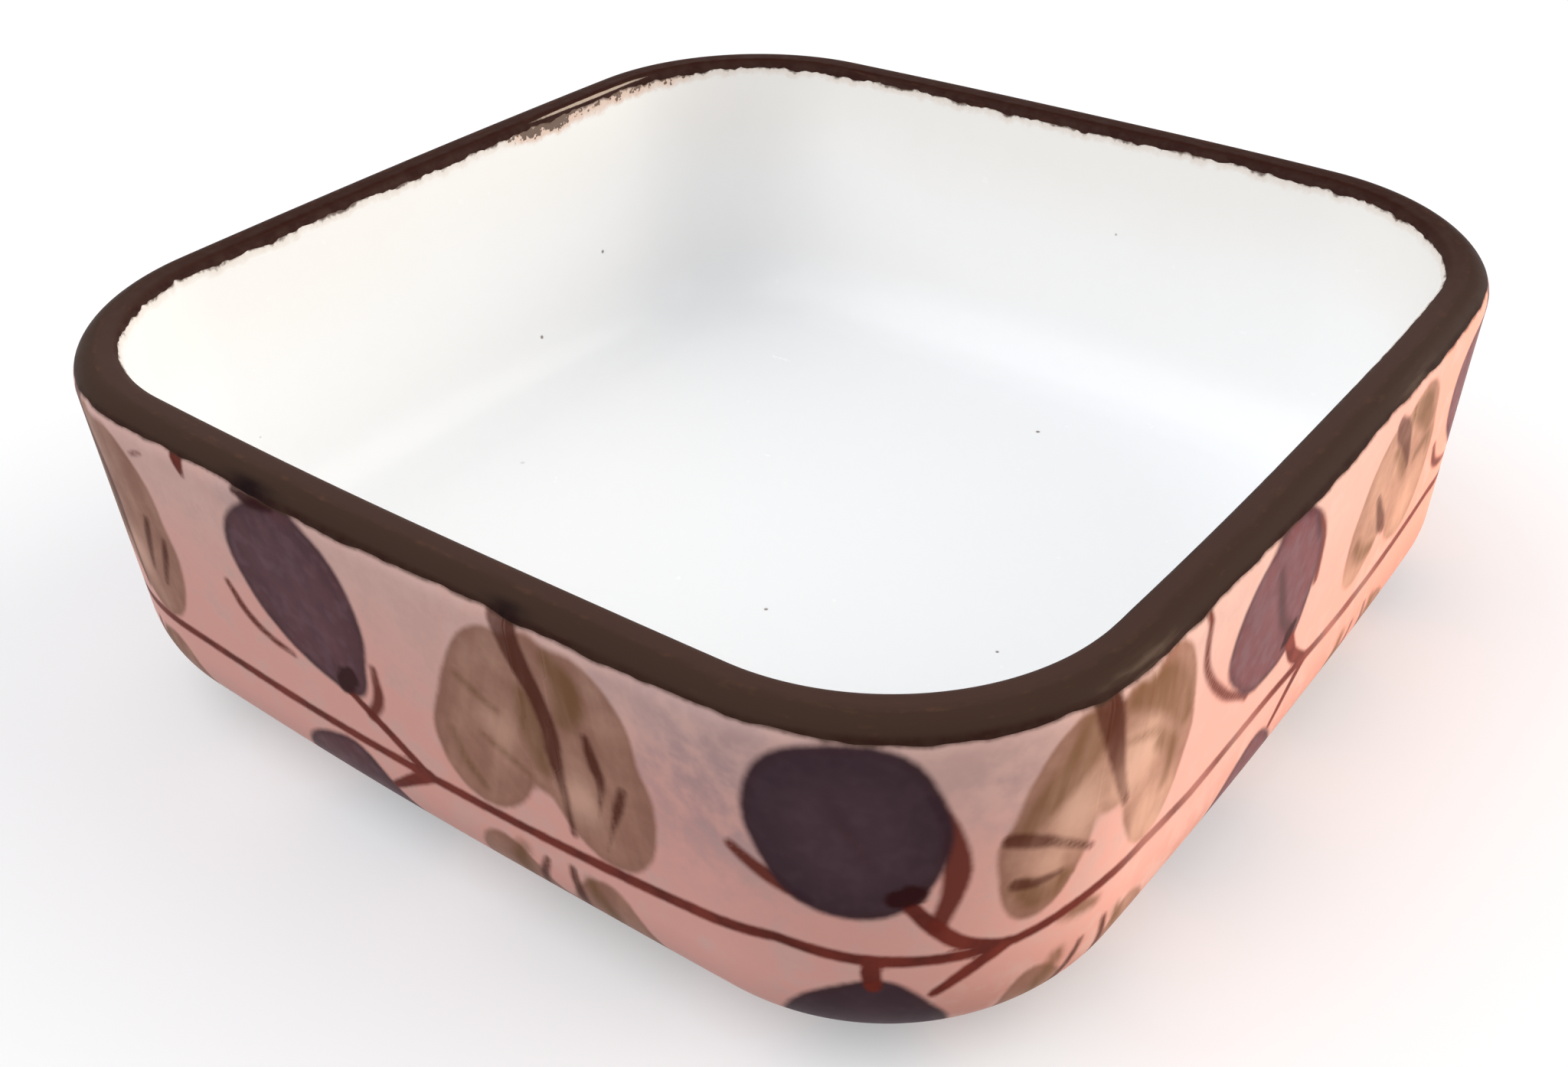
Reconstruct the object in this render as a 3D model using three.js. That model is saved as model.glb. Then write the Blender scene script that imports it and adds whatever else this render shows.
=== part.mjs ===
// Square earthenware serving dish with rounded corners. A thick clay body stands on a low foot ring,
// white glaze lines the well, brown glaze bands the lip, pink glaze covers the outside and a thin
// glaze seals the clay inside the foot ring.
// Millimetres, +Z up. The origin is the centre of the footprint, on the surface that the dish stands on.

import * as THREE from 'three';
import { mergeVertices } from 'three/addons/utils/BufferGeometryUtils.js';

// Driving dimensions: the plan
const width = 200; // across the lip, from the middle of one side to the middle of the opposite one
const sideBow = 0.9; // how far each side bulges past a straight line
const cornerRadius = 43.5; // in plan, at the lip

// Driving dimensions: the wall's section, over the glaze
const height = 67; // from the standing surface to the crest of the lip
const wallThickness = 8.1;
const wallLean = 3.5; // degrees from upright, narrowing towards the base
const lipOuterRound = 4;
const lipInnerRound = 1.8;
const baseRoll = 19.3; // the round between the outer wall and the underside
const wellFillet = 14; // the round between the inner wall and the floor
const floorThickness = 8.5;

// Driving dimensions: the foot ring
const footHeight = 2;
const footWidth = 6;
const footSetback = 3.2; // from the end of the base roll to the ring
const footEdgeRound = 0.8;

// Driving dimensions: the glaze
const glazeThickness = 0.5;
const bandDropOutside = 2.8; // how far the brown band reaches below the crest on the outside
const bandDropInside = 1.4; // and on the inside

// Clearances
const seatGap = 0.05; // between a glaze or the foot ring and the clay that it sits on
const seamGap = 0.2; // between the edges of two neighbouring coats

// Fineness of the facets
const leastCorner = 1; // the tightest corner radius that a drawn-in outline keeps
const cornerSteps = 10; // along each corner in plan
const sideSteps = 6; // along each side in plan
const lipSteps = 4;
const rollSteps = 6;

const half = width / 2;
const lean = THREE.MathUtils.degToRad(wallLean);
const clayDepth = glazeThickness + seatGap;
const floorLevel = footHeight + floorThickness;
const pointsRound = 4 * (sideSteps + cornerSteps);

// Plan: four bowed sides and four corner arcs, tangent to each other.
const sideRadius = ((half - cornerRadius) ** 2 + sideBow ** 2) / (2 * sideBow);
const sideCentre = half - sideRadius;
const cornerReach = sideRadius - cornerRadius;
const cornerCentre = (sideCentre + Math.sqrt(2 * cornerReach ** 2 - sideCentre ** 2)) / 2;
const sideSweep = Math.atan2(cornerCentre, cornerCentre - sideCentre);

// The plan's outline drawn in by an inset, as one point for each facet edge, anticlockwise from the
// start of the +X side. Once its corners are at their tightest it shrinks towards the centre instead.
function outline(inset) {
  const drawnIn = Math.min(inset, cornerRadius - leastCorner);
  const shrink = (half - inset) / (half - drawnIn);
  const points = [];
  for (let quarter = 0; quarter < 4; quarter += 1) {
    const turn = (quarter * Math.PI) / 2;
    const along = (centre, radius, angle) =>
      points.push(
        new THREE.Vector2(Math.cos(angle), Math.sin(angle))
          .multiplyScalar(radius)
          .add(centre)
          .multiplyScalar(shrink)
          .rotateAround(new THREE.Vector2(), turn),
      );
    for (let step = 0; step < sideSteps; step += 1) {
      const angle = THREE.MathUtils.lerp(-sideSweep, sideSweep, step / sideSteps);
      along(new THREE.Vector2(sideCentre, 0), sideRadius - drawnIn, angle);
    }
    for (let step = 0; step < cornerSteps; step += 1) {
      const angle = THREE.MathUtils.lerp(sideSweep, Math.PI / 2 - sideSweep, step / cornerSteps);
      along(new THREE.Vector2(cornerCentre, cornerCentre), cornerRadius - drawnIn, angle);
    }
  }
  return points;
}

// Section: points are (inset from the plan's outline, height), so outwards is the -X direction here.
const up = Math.PI / 2;
const facingOut = Math.PI + lean;
const down = 1.5 * Math.PI;

function arc(centre, radius, from, to, steps) {
  return new THREE.EllipseCurve(centre.x, centre.y, radius, radius, from, to, to < from).getPoints(steps);
}

// The centre of the round at the foot of a wall, the distance across from the lip round's centre.
function footOfWall(lipCentre, across, level) {
  const run = (lipCentre.y + across * Math.sin(lean) - level) / Math.cos(lean);
  return new THREE.Vector2(lipCentre.x + across * Math.cos(lean) + run * Math.sin(lean), level);
}

const outerLip = new THREE.Vector2(lipOuterRound, height - lipOuterRound);
const innerLip = new THREE.Vector2(wallThickness - lipInnerRound, height - lipInnerRound);
const rollCentre = footOfWall(outerLip, baseRoll - lipOuterRound, footHeight + baseRoll);
const filletCentre = footOfWall(innerLip, wellFillet + lipInnerRound, floorLevel + wellFillet);
const footInset = rollCentre.x + footSetback;

// The outer face, a depth under the finished surface, from the lip's crest down to the underside.
function outerFace(depth) {
  return [
    ...arc(outerLip, lipOuterRound - depth, up, facingOut, lipSteps),
    ...arc(rollCentre, baseRoll - depth, facingOut, down, rollSteps),
  ];
}

// The inner face, a depth under the finished surface, from the lip's crest down to the floor.
function innerFace(depth) {
  return [
    ...arc(innerLip, lipInnerRound - depth, up, lean, lipSteps),
    ...arc(filletCentre, wellFillet + depth, facingOut, down, rollSteps),
  ];
}

function crossing(above, below, level) {
  return above.clone().lerp(below, (above.y - level) / (above.y - below.y));
}

function partAbove(face, level) {
  const cut = face.findIndex((point) => point.y < level);
  return [...face.slice(0, cut), crossing(face[cut - 1], face[cut], level)];
}

function partBelow(face, level) {
  const cut = face.findIndex((point) => point.y < level);
  return [crossing(face[cut - 1], face[cut], level), ...face.slice(cut)];
}

const onAxis = (level) => new THREE.Vector2(half, level);

// Carries a section round the plan: it is turned as on a wheel, then its rounds are squared.
// A section that starts and ends on the axis is closed by it, and any other ends where it starts.
function squared(section) {
  const turned = new THREE.LatheGeometry(section, pointsRound);
  const places = turned.getAttribute('position');
  section.forEach((point, row) => {
    const ring = outline(point.x);
    for (let column = 0; column <= pointsRound; column += 1) {
      const { x, y } = ring[column % pointsRound];
      places.setXYZ(column * section.length + row, x, y, point.y);
    }
  });
  turned.deleteAttribute('normal');
  turned.deleteAttribute('uv');
  const joined = mergeVertices(turned);
  joined.computeVertexNormals();
  return joined;
}

const closed = (section) => [...section, section[0]];

const dish = new THREE.Group();

function addPiece(name, section, color, roughness) {
  const material = new THREE.MeshStandardMaterial({ color, roughness, metalness: 0 });
  const piece = new THREE.Mesh(squared(section), material);
  piece.name = name;
  dish.add(piece);
}

// Clay body: floor, wall and lip in one fired piece.
addPiece(
  'clay_body',
  [
    onAxis(footHeight + clayDepth),
    ...outerFace(clayDepth).reverse(),
    ...innerFace(clayDepth),
    onAxis(floorLevel - clayDepth),
  ],
  0xc9a58c,
  0.9,
);

// Foot ring: a strip of bare clay joined under the floor, with its two lower edges rounded.
const footTop = footHeight + clayDepth - seatGap;
const footOuterEdge = new THREE.Vector2(footInset + footEdgeRound, footEdgeRound);
const footInnerEdge = new THREE.Vector2(footInset + footWidth - footEdgeRound, footEdgeRound);
addPiece(
  'foot_ring',
  closed([
    new THREE.Vector2(footInset + footWidth, footTop),
    ...arc(footInnerEdge, footEdgeRound, 0, -up, lipSteps),
    ...arc(footOuterEdge, footEdgeRound, down, Math.PI, lipSteps),
    new THREE.Vector2(footInset, footTop),
  ]),
  0xbf9577,
  0.95,
);

// Liner glaze: white, over the floor and up the inner wall to the band.
const linerTop = height - bandDropInside - seamGap;
addPiece(
  'liner_glaze',
  [
    onAxis(floorLevel - glazeThickness),
    ...partBelow(innerFace(glazeThickness), linerTop).reverse(),
    ...partBelow(innerFace(0), linerTop),
    onAxis(floorLevel),
  ],
  0xf2f0ee,
  0.15,
);

// Rim glaze: the brown band over the lip.
const bandInside = height - bandDropInside;
const bandOutside = height - bandDropOutside;
addPiece(
  'rim_glaze',
  closed([
    ...partAbove(outerFace(0), bandOutside).reverse(),
    ...partAbove(innerFace(0), bandInside),
    ...partAbove(innerFace(glazeThickness), bandInside).reverse(),
    ...partAbove(outerFace(glazeThickness), bandOutside),
  ]),
  0x45332b,
  0.25,
);

// Outer glaze: pink, from the band down the wall and under the base to the foot ring.
const outerTop = bandOutside - seamGap;
const outerEnd = footInset - seamGap;
addPiece(
  'outer_glaze',
  closed([
    new THREE.Vector2(outerEnd, footHeight),
    ...partBelow(outerFace(0), outerTop).reverse(),
    ...partBelow(outerFace(glazeThickness), outerTop),
    new THREE.Vector2(outerEnd, footHeight + glazeThickness),
  ]),
  0xd9a69a,
  0.25,
);

// Base glaze: a flat coat over the clay inside the foot ring.
const baseStart = footInset + footWidth + seamGap;
addPiece(
  'base_glaze',
  [
    onAxis(footHeight),
    new THREE.Vector2(baseStart, footHeight),
    new THREE.Vector2(baseStart, footHeight + glazeThickness),
    onAxis(footHeight + glazeThickness),
  ],
  0xdfb6a8,
  0.3,
);

export default dish;
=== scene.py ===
"""Look of a square earthenware dish: fired clay, four glazes, a painted border and a bare foot."""

from __future__ import annotations

import logging
import math
import random
from collections.abc import Callable, Sequence
from dataclasses import dataclass, field, replace
from enum import Enum

import bmesh
import bpy
import numpy as np
from mathutils import Matrix, Vector


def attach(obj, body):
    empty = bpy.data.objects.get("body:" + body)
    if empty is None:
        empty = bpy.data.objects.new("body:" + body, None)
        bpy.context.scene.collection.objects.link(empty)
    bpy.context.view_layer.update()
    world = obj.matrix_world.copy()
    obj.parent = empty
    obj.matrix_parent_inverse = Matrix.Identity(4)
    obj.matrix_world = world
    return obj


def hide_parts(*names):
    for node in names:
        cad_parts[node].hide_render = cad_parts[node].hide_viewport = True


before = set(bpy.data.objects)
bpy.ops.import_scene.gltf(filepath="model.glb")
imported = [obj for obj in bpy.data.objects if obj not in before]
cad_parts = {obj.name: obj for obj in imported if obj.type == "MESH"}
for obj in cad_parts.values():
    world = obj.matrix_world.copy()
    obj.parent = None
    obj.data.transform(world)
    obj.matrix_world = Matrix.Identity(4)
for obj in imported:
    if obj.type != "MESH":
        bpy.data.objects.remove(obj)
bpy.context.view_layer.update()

LOG = logging.getLogger("serving_dish")
MM = 0.001
BODY = "root"

Colour = tuple[float, float, float, float]
Pair = tuple[float, float]
Triple = tuple[float, float, float]
Path = tuple[Triple, ...]
Lobe = tuple[float, float, float, float, float]
Spot = tuple[float, float, float, float]
Wave = tuple[float, tuple[float, ...], int]


def tint(red: float, green: float, blue: float) -> Colour:
    """Gives the linear colour of a paint that is named by its three display bytes.

    Args:
        red: Red byte, 0 to 255.
        green: Green byte, 0 to 255.
        blue: Blue byte, 0 to 255.

    Returns:
        The colour as a shader socket takes it.
    """
    shares = [byte / 255 for byte in (red, green, blue)]
    linear = [s / 12.92 if s <= 0.04045 else ((s + 0.055) / 1.055) ** 2.4 for s in shares]
    return (linear[0], linear[1], linear[2], 1.0)


def ease(value: np.ndarray, low: float, high: float) -> np.ndarray:
    """Rises smoothly from 0 at low to 1 at high."""
    share = np.clip((value - low) / (high - low), 0, 1)
    return share * share * (3 - 2 * share)


@dataclass(frozen=True)
class Plan:
    """The dish from above: a square with bowed sides and round corners, in millimetres.

    Distances round it follow the lip anticlockwise from the middle of the -Y side.
    """

    half: float = 100.0
    bow: float = 0.9
    corner: float = 43.5
    least_corner: float = 1.0
    unsure: float = 1.5
    slack: float = 1e-6

    @property
    def side_radius(self) -> float:
        """Radius of a bowed side."""
        return ((self.half - self.corner) ** 2 + self.bow**2) / (2 * self.bow)

    @property
    def side_centre(self) -> float:
        """Where a side's arc is centred, along that side's own axis."""
        return self.half - self.side_radius

    @property
    def corner_centre(self) -> float:
        """Both coordinates of a corner arc's centre."""
        reach = self.side_radius - self.corner
        return (self.side_centre + math.sqrt(2 * reach**2 - self.side_centre**2)) / 2

    @property
    def sweep(self) -> float:
        """Half the angle that a side's arc turns through."""
        return math.atan2(self.corner_centre, self.corner_centre - self.side_centre)

    @property
    def side(self) -> float:
        """Length of one side."""
        return 2 * self.side_radius * self.sweep

    @property
    def quarter(self) -> float:
        """Length of one side and one corner."""
        return self.side + self.corner * (math.pi / 2 - 2 * self.sweep)

    @property
    def girth(self) -> float:
        """Length once round the lip."""
        return 4 * self.quarter

    def stations(self, side_cells: int, corner_cells: int) -> np.ndarray:
        """Spaces points round the lip.

        Args:
            side_cells: Cells along each side.
            corner_cells: Cells along each corner.

        Returns:
            The points' distances round the lip.
        """
        side = np.linspace(-self.side / 2, self.side / 2, side_cells, endpoint=False)
        corner = np.linspace(self.side / 2, self.quarter - self.side / 2, corner_cells, endpoint=False)
        one = np.concatenate([side, corner])
        return np.concatenate([one + turn * self.quarter for turn in range(4)])

    def place(self, around: np.ndarray, inset: np.ndarray) -> np.ndarray:
        """Finds points of the plan.

        Args:
            around: Distances round the lip.
            inset: How far the points are drawn in from the outline.

        Returns:
            One row of X and Y for each point.
        """
        around, inset = np.broadcast_arrays(np.asarray(around, float), np.asarray(inset, float))
        drawn = np.minimum(inset, self.corner - self.least_corner)
        shrink = (self.half - inset) / (self.half - drawn)
        turn = np.floor((around + self.side / 2) / self.quarter)
        local = around + self.side / 2 - turn * self.quarter
        bend = (local - self.side / 2) / self.side_radius
        swing = self.sweep + (local - self.side) / self.corner
        on_side = local < self.side
        reach = np.where(on_side, self.side_radius - drawn, self.corner - drawn)
        angle = np.where(on_side, bend, swing)
        x = np.where(on_side, 0.0, self.corner_centre) + reach * np.sin(angle)
        y = -np.where(on_side, self.side_centre, self.corner_centre) - reach * np.cos(angle)
        cos, sin = np.cos(turn * math.pi / 2), np.sin(turn * math.pi / 2)
        return np.stack([(cos * x - sin * y) * shrink, (sin * x + cos * y) * shrink], -1)

    def locate(self, x: np.ndarray, y: np.ndarray) -> tuple[np.ndarray, np.ndarray]:
        """Does the reverse of place, for points outside the middle of the floor.

        Args:
            x: X of the points.
            y: Y of the points.

        Returns:
            Distances round the lip, and insets, which are infinite in the middle of the floor.
        """
        deepest = self.corner - self.unsure
        around = np.zeros_like(x)
        inset = np.full_like(x, np.inf)
        for turn in range(4):
            cos, sin = math.cos(turn * math.pi / 2), math.sin(turn * math.pi / 2)
            u, v = cos * x + sin * y, -sin * x + cos * y
            bend = np.arctan2(u, -self.side_centre - v)
            depth = self.side_radius - np.hypot(u, -self.side_centre - v)
            hit = (np.abs(bend) <= self.sweep + self.slack) & (v < 0) & (depth < deepest)
            around = np.where(hit, bend * self.side_radius + turn * self.quarter, around)
            inset = np.where(hit, depth, inset)
            swing = np.arctan2(u - self.corner_centre, -(v + self.corner_centre))
            depth = self.corner - np.hypot(u - self.corner_centre, v + self.corner_centre)
            hit = (swing > self.sweep) & (swing < math.pi / 2 - self.sweep) & (depth < deepest)
            along = self.side / 2 + (swing - self.sweep) * self.corner
            around = np.where(hit, along + turn * self.quarter, around)
            inset = np.where(hit, depth, inset)
        return around, inset


@dataclass(frozen=True)
class Face:
    """One face of the wall cut through: a lip round, a straight wall, a round at its foot and a flat.

    Points are insets from the plan's outline and heights, in millimetres. A run is a distance along the
    face from the lip's crest, and a depth is under the face. The sign is -1 outside and 1 inside.
    """

    lip: Pair
    lip_round: float
    foot_round: float
    base: float
    lean: float
    sign: int

    @property
    def across(self) -> float:
        """Distance between the centres of the two rounds, square to the wall."""
        return self.foot_round + self.sign * self.lip_round

    @property
    def start(self) -> float:
        """Run at which the straight wall starts."""
        return self.lip_round * (math.pi / 2 - self.sign * self.lean)

    @property
    def wall(self) -> float:
        """Length of the straight wall."""
        drop = self.lip[1] + self.across * math.sin(self.lean) - self.base - self.foot_round
        return drop / math.cos(self.lean)

    @property
    def foot(self) -> Pair:
        """Centre of the round at the foot of the wall."""
        inset = self.lip[0] + self.across * math.cos(self.lean) + self.wall * math.sin(self.lean)
        return (inset, self.base + self.foot_round)

    @property
    def flat(self) -> float:
        """Run at which the flat starts."""
        return self.start + self.wall + self.foot_round * (math.pi / 2 - self.lean)

    def place(self, run: np.ndarray, depth: np.ndarray | float) -> tuple[np.ndarray, np.ndarray]:
        """Finds points of the face.

        Args:
            run: Distances from the crest.
            depth: Distances under the face.

        Returns:
            Insets and heights.
        """
        run, depth = np.broadcast_arrays(np.asarray(run, float), np.asarray(depth, float))
        cos, sin = math.cos(self.lean), math.sin(self.lean)
        down = run - self.start
        turn = math.pi / 2 - self.sign * np.maximum(run, 0) / self.lip_round
        bend = math.pi + self.lean + (down - self.wall) / self.foot_round
        bend = np.minimum(bend, 1.5 * math.pi)
        past = np.maximum(run - self.flat, 0)
        lip, foot = self.lip_round - depth, self.foot_round + self.sign * depth
        on_lip, on_wall = down < 0, down < self.wall
        inset = np.where(
            on_wall,
            self.lip[0] + self.sign * lip * cos + down * sin,
            self.foot[0] + foot * np.cos(bend) + past,
        )
        height = np.where(
            on_wall,
            self.lip[1] + self.sign * lip * sin - down * cos,
            self.foot[1] + foot * np.sin(bend),
        )
        inset = np.where(on_lip, self.lip[0] + lip * np.cos(turn), inset)
        return inset, np.where(on_lip, self.lip[1] + lip * np.sin(turn), height)

    def locate(self, inset: np.ndarray, height: np.ndarray) -> tuple[np.ndarray, np.ndarray]:
        """Does the reverse of place.

        Args:
            inset: Insets of points at or under the face.
            height: Their heights.

        Returns:
            Runs and depths.
        """
        cos, sin = math.cos(self.lean), math.sin(self.lean)
        across, up = inset - self.lip[0], height - self.lip[1]
        down = across * sin - up * cos
        turn = np.arctan2(up, across)
        turn = np.where(turn < 0, turn + 2 * math.pi, turn)
        on_lip, on_foot = down < 0, down >= self.wall
        run = np.where(on_lip, self.sign * (math.pi / 2 - turn) * self.lip_round, self.start + down)
        straight = self.lip_round - self.sign * (across * cos + up * sin)
        depth = np.where(on_lip, self.lip_round - np.hypot(across, up), straight)
        across, up = inset - self.foot[0], height - self.foot[1]
        bend = np.arctan2(up, across) + 2 * math.pi
        rounded = self.start + self.wall + self.foot_round * (bend - math.pi - self.lean)
        run = np.where(on_foot, rounded, run)
        depth = np.where(on_foot, self.sign * (np.hypot(across, up) - self.foot_round), depth)
        on_flat = on_foot & (across > 0)
        run = np.where(on_flat, self.flat + across, run)
        return run, np.where(on_flat, self.sign * (self.base - height), depth)


@dataclass(frozen=True)
class Section:
    """The wall cut through, in millimetres: its two faces, the foot ring and the coats."""

    height: float = 67.0
    wall: float = 8.1
    lean: float = math.radians(3.5)
    lip_outer: float = 4.0
    lip_inner: float = 1.8
    roll: float = 19.3
    fillet: float = 14.0
    floor: float = 10.5
    underside: float = 2.0
    foot_setback: float = 3.2
    foot_width: float = 6.0
    foot_round: float = 0.8
    glaze: float = 0.5
    seat: float = 0.05
    seam: float = 0.2

    @property
    def outer(self) -> Face:
        """The outer face, down to the underside."""
        lip = (self.lip_outer, self.height - self.lip_outer)
        return Face(lip, self.lip_outer, self.roll, self.underside, self.lean, -1)

    @property
    def inner(self) -> Face:
        """The inner face, down to the floor."""
        lip = (self.wall - self.lip_inner, self.height - self.lip_inner)
        return Face(lip, self.lip_inner, self.fillet, self.floor, self.lean, 1)

    @property
    def foot_inset(self) -> float:
        """Inset of the foot ring's outer side."""
        return self.outer.foot[0] + self.foot_setback

    @property
    def outer_end(self) -> float:
        """Run at which the outer coat stops, beside the foot ring."""
        return self.outer.flat + self.foot_setback - self.seam


@dataclass(frozen=True)
class Hand:
    """What the maker's hand left uneven: pulled walls and the wavering edges of the brown band.

    A wave is its size, the wavelengths that it mixes and a seed; a hump is its size, place and reach.
    """

    plan: Plan = field(default_factory=Plan)
    wave_peak: float = 1.8
    least_pull: float = 0.06
    pull_wave: Wave = (0.13, (170, 118, 83), 23)
    corner_pull: float = 0.95
    corner_reach: float = 36.0
    dip_wave: Wave = (0.08, (240, 143, 102), 29)
    pull_insets: Pair = (9.0, 40.0)
    pull_heights: Pair = (4.0, 60.0)
    dip_heights: Pair = (45.0, 66.0)
    outside_run: float = 4.35
    outside_waves: tuple[Wave, ...] = (
        (0.3, (95, 61, 44), 3),
        (0.12, (17, 11.5, 7.6), 5),
        (0.04, (4.1, 3.2), 8),
    )
    outside_humps: Path = ((0.3, -23, 5), (0.25, 28, 2.6), (0.2, 111, 3), (0.2, 203, 4))
    inside_run: float = 1.9
    inside_waves: tuple[Wave, ...] = ((0.25, (88, 57, 39), 13),)
    inside_rough: tuple[Wave, ...] = ((0.2, (15, 9.4, 6.3), 17), (0.14, (4.4, 3.1, 2.5), 19))
    far_drop: float = 0.9
    near_rough: float = 0.35
    least_run: float = 0.7

    def wander(self, around: np.ndarray, lengths: Sequence[float], seed: int) -> np.ndarray:
        """Gives an even wave that closes round the lip.

        Args:
            around: Distances round the lip.
            lengths: Wavelengths to mix, in millimetres.
            seed: Picks the phases.

        Returns:
            Values of about -1 to 1.
        """
        draw = random.Random(seed)
        total = np.zeros_like(around)
        for length in lengths:
            turns = max(1, round(self.plan.girth / length))
            phase = draw.uniform(0, 2 * math.pi)
            total = total + np.sin(2 * math.pi * turns * around / self.plan.girth + phase)
        return total / math.sqrt(len(lengths))

    def apart(self, around: np.ndarray, place: float) -> np.ndarray:
        """Signed distance round the lip from a place, the short way."""
        girth = self.plan.girth
        return (around - place + girth / 2) % girth - girth / 2

    def bump(self, around: np.ndarray, place: float, reach: float) -> np.ndarray:
        """A smooth hump round the lip, 1 at a place and nothing a few reaches away."""
        return np.exp(-((self.apart(around, place) / reach) ** 2))

    def waves(self, around: np.ndarray, parts: Sequence[Wave]) -> np.ndarray:
        """Adds up waves."""
        return sum(size * self.wander(around, lengths, seed) for size, lengths, seed in parts)

    def lifted(self, around: np.ndarray, wave: Wave) -> np.ndarray:
        """A wave raised by its own size, so that it hardly goes below 0."""
        size, lengths, seed = wave
        return size * (1 + self.wander(around, lengths, seed) / self.wave_peak)

    def humps(self, around: np.ndarray, parts: Path) -> np.ndarray:
        """Adds up humps."""
        return sum(size * self.bump(around, place, reach) for size, place, reach in parts)

    def outside_edge(self, around: np.ndarray) -> np.ndarray:
        """Run of the brown band's lower edge on the outside."""
        run = self.outside_run + self.waves(around, self.outside_waves)
        return run + self.humps(around, self.outside_humps)

    def inside_edge(self, around: np.ndarray) -> np.ndarray:
        """Run of the brown band's lower edge inside the well, lower and rougher on the two far sides."""
        quarter = self.plan.quarter
        far = ease(np.abs(self.apart(around, 2.5 * quarter)), 1.08 * quarter, 0.92 * quarter)
        run = self.inside_run + self.waves(around, self.inside_waves) + self.far_drop * far
        rough = self.near_rough + (1 - self.near_rough) * far
        run = run + self.waves(around, self.inside_rough) * rough
        thinned = ((0.8, -0.5 * quarter, 26), (0.7, 1.25 * quarter, 34))
        return np.maximum(run - self.humps(around, thinned), self.least_run)

    def pull(self, places: np.ndarray) -> np.ndarray:
        """Draws points of the finished dish in from the true outline, the same way in every piece.

        Args:
            places: One row of X, Y and Z for each point, in millimetres.

        Returns:
            The moved points.
        """
        around, inset = self.plan.locate(places[:, 0], places[:, 1])
        near = np.isfinite(inset)
        fade = np.where(near, 1 - ease(np.where(near, inset, 0.0), *self.pull_insets), 0.0)
        tall = ease(places[:, 2], *self.pull_heights)
        amount = self.least_pull + self.lifted(around, self.pull_wave)
        far_right = self.bump(around, 1.5 * self.plan.quarter, self.corner_reach)
        amount = amount + self.corner_pull * far_right * tall
        amount = np.maximum(amount, self.least_pull) * fade
        moved = places.copy()
        moved[near, :2] = self.plan.place(around[near], inset[near] + amount[near])
        dip = np.maximum(self.lifted(around, self.dip_wave), 0)
        moved[:, 2] -= np.where(near, dip * ease(places[:, 2], *self.dip_heights), 0.0)
        return moved


class Facing(Enum):
    """Which way a skin's starting face looks."""

    UP = 1
    DOWN = -1


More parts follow.
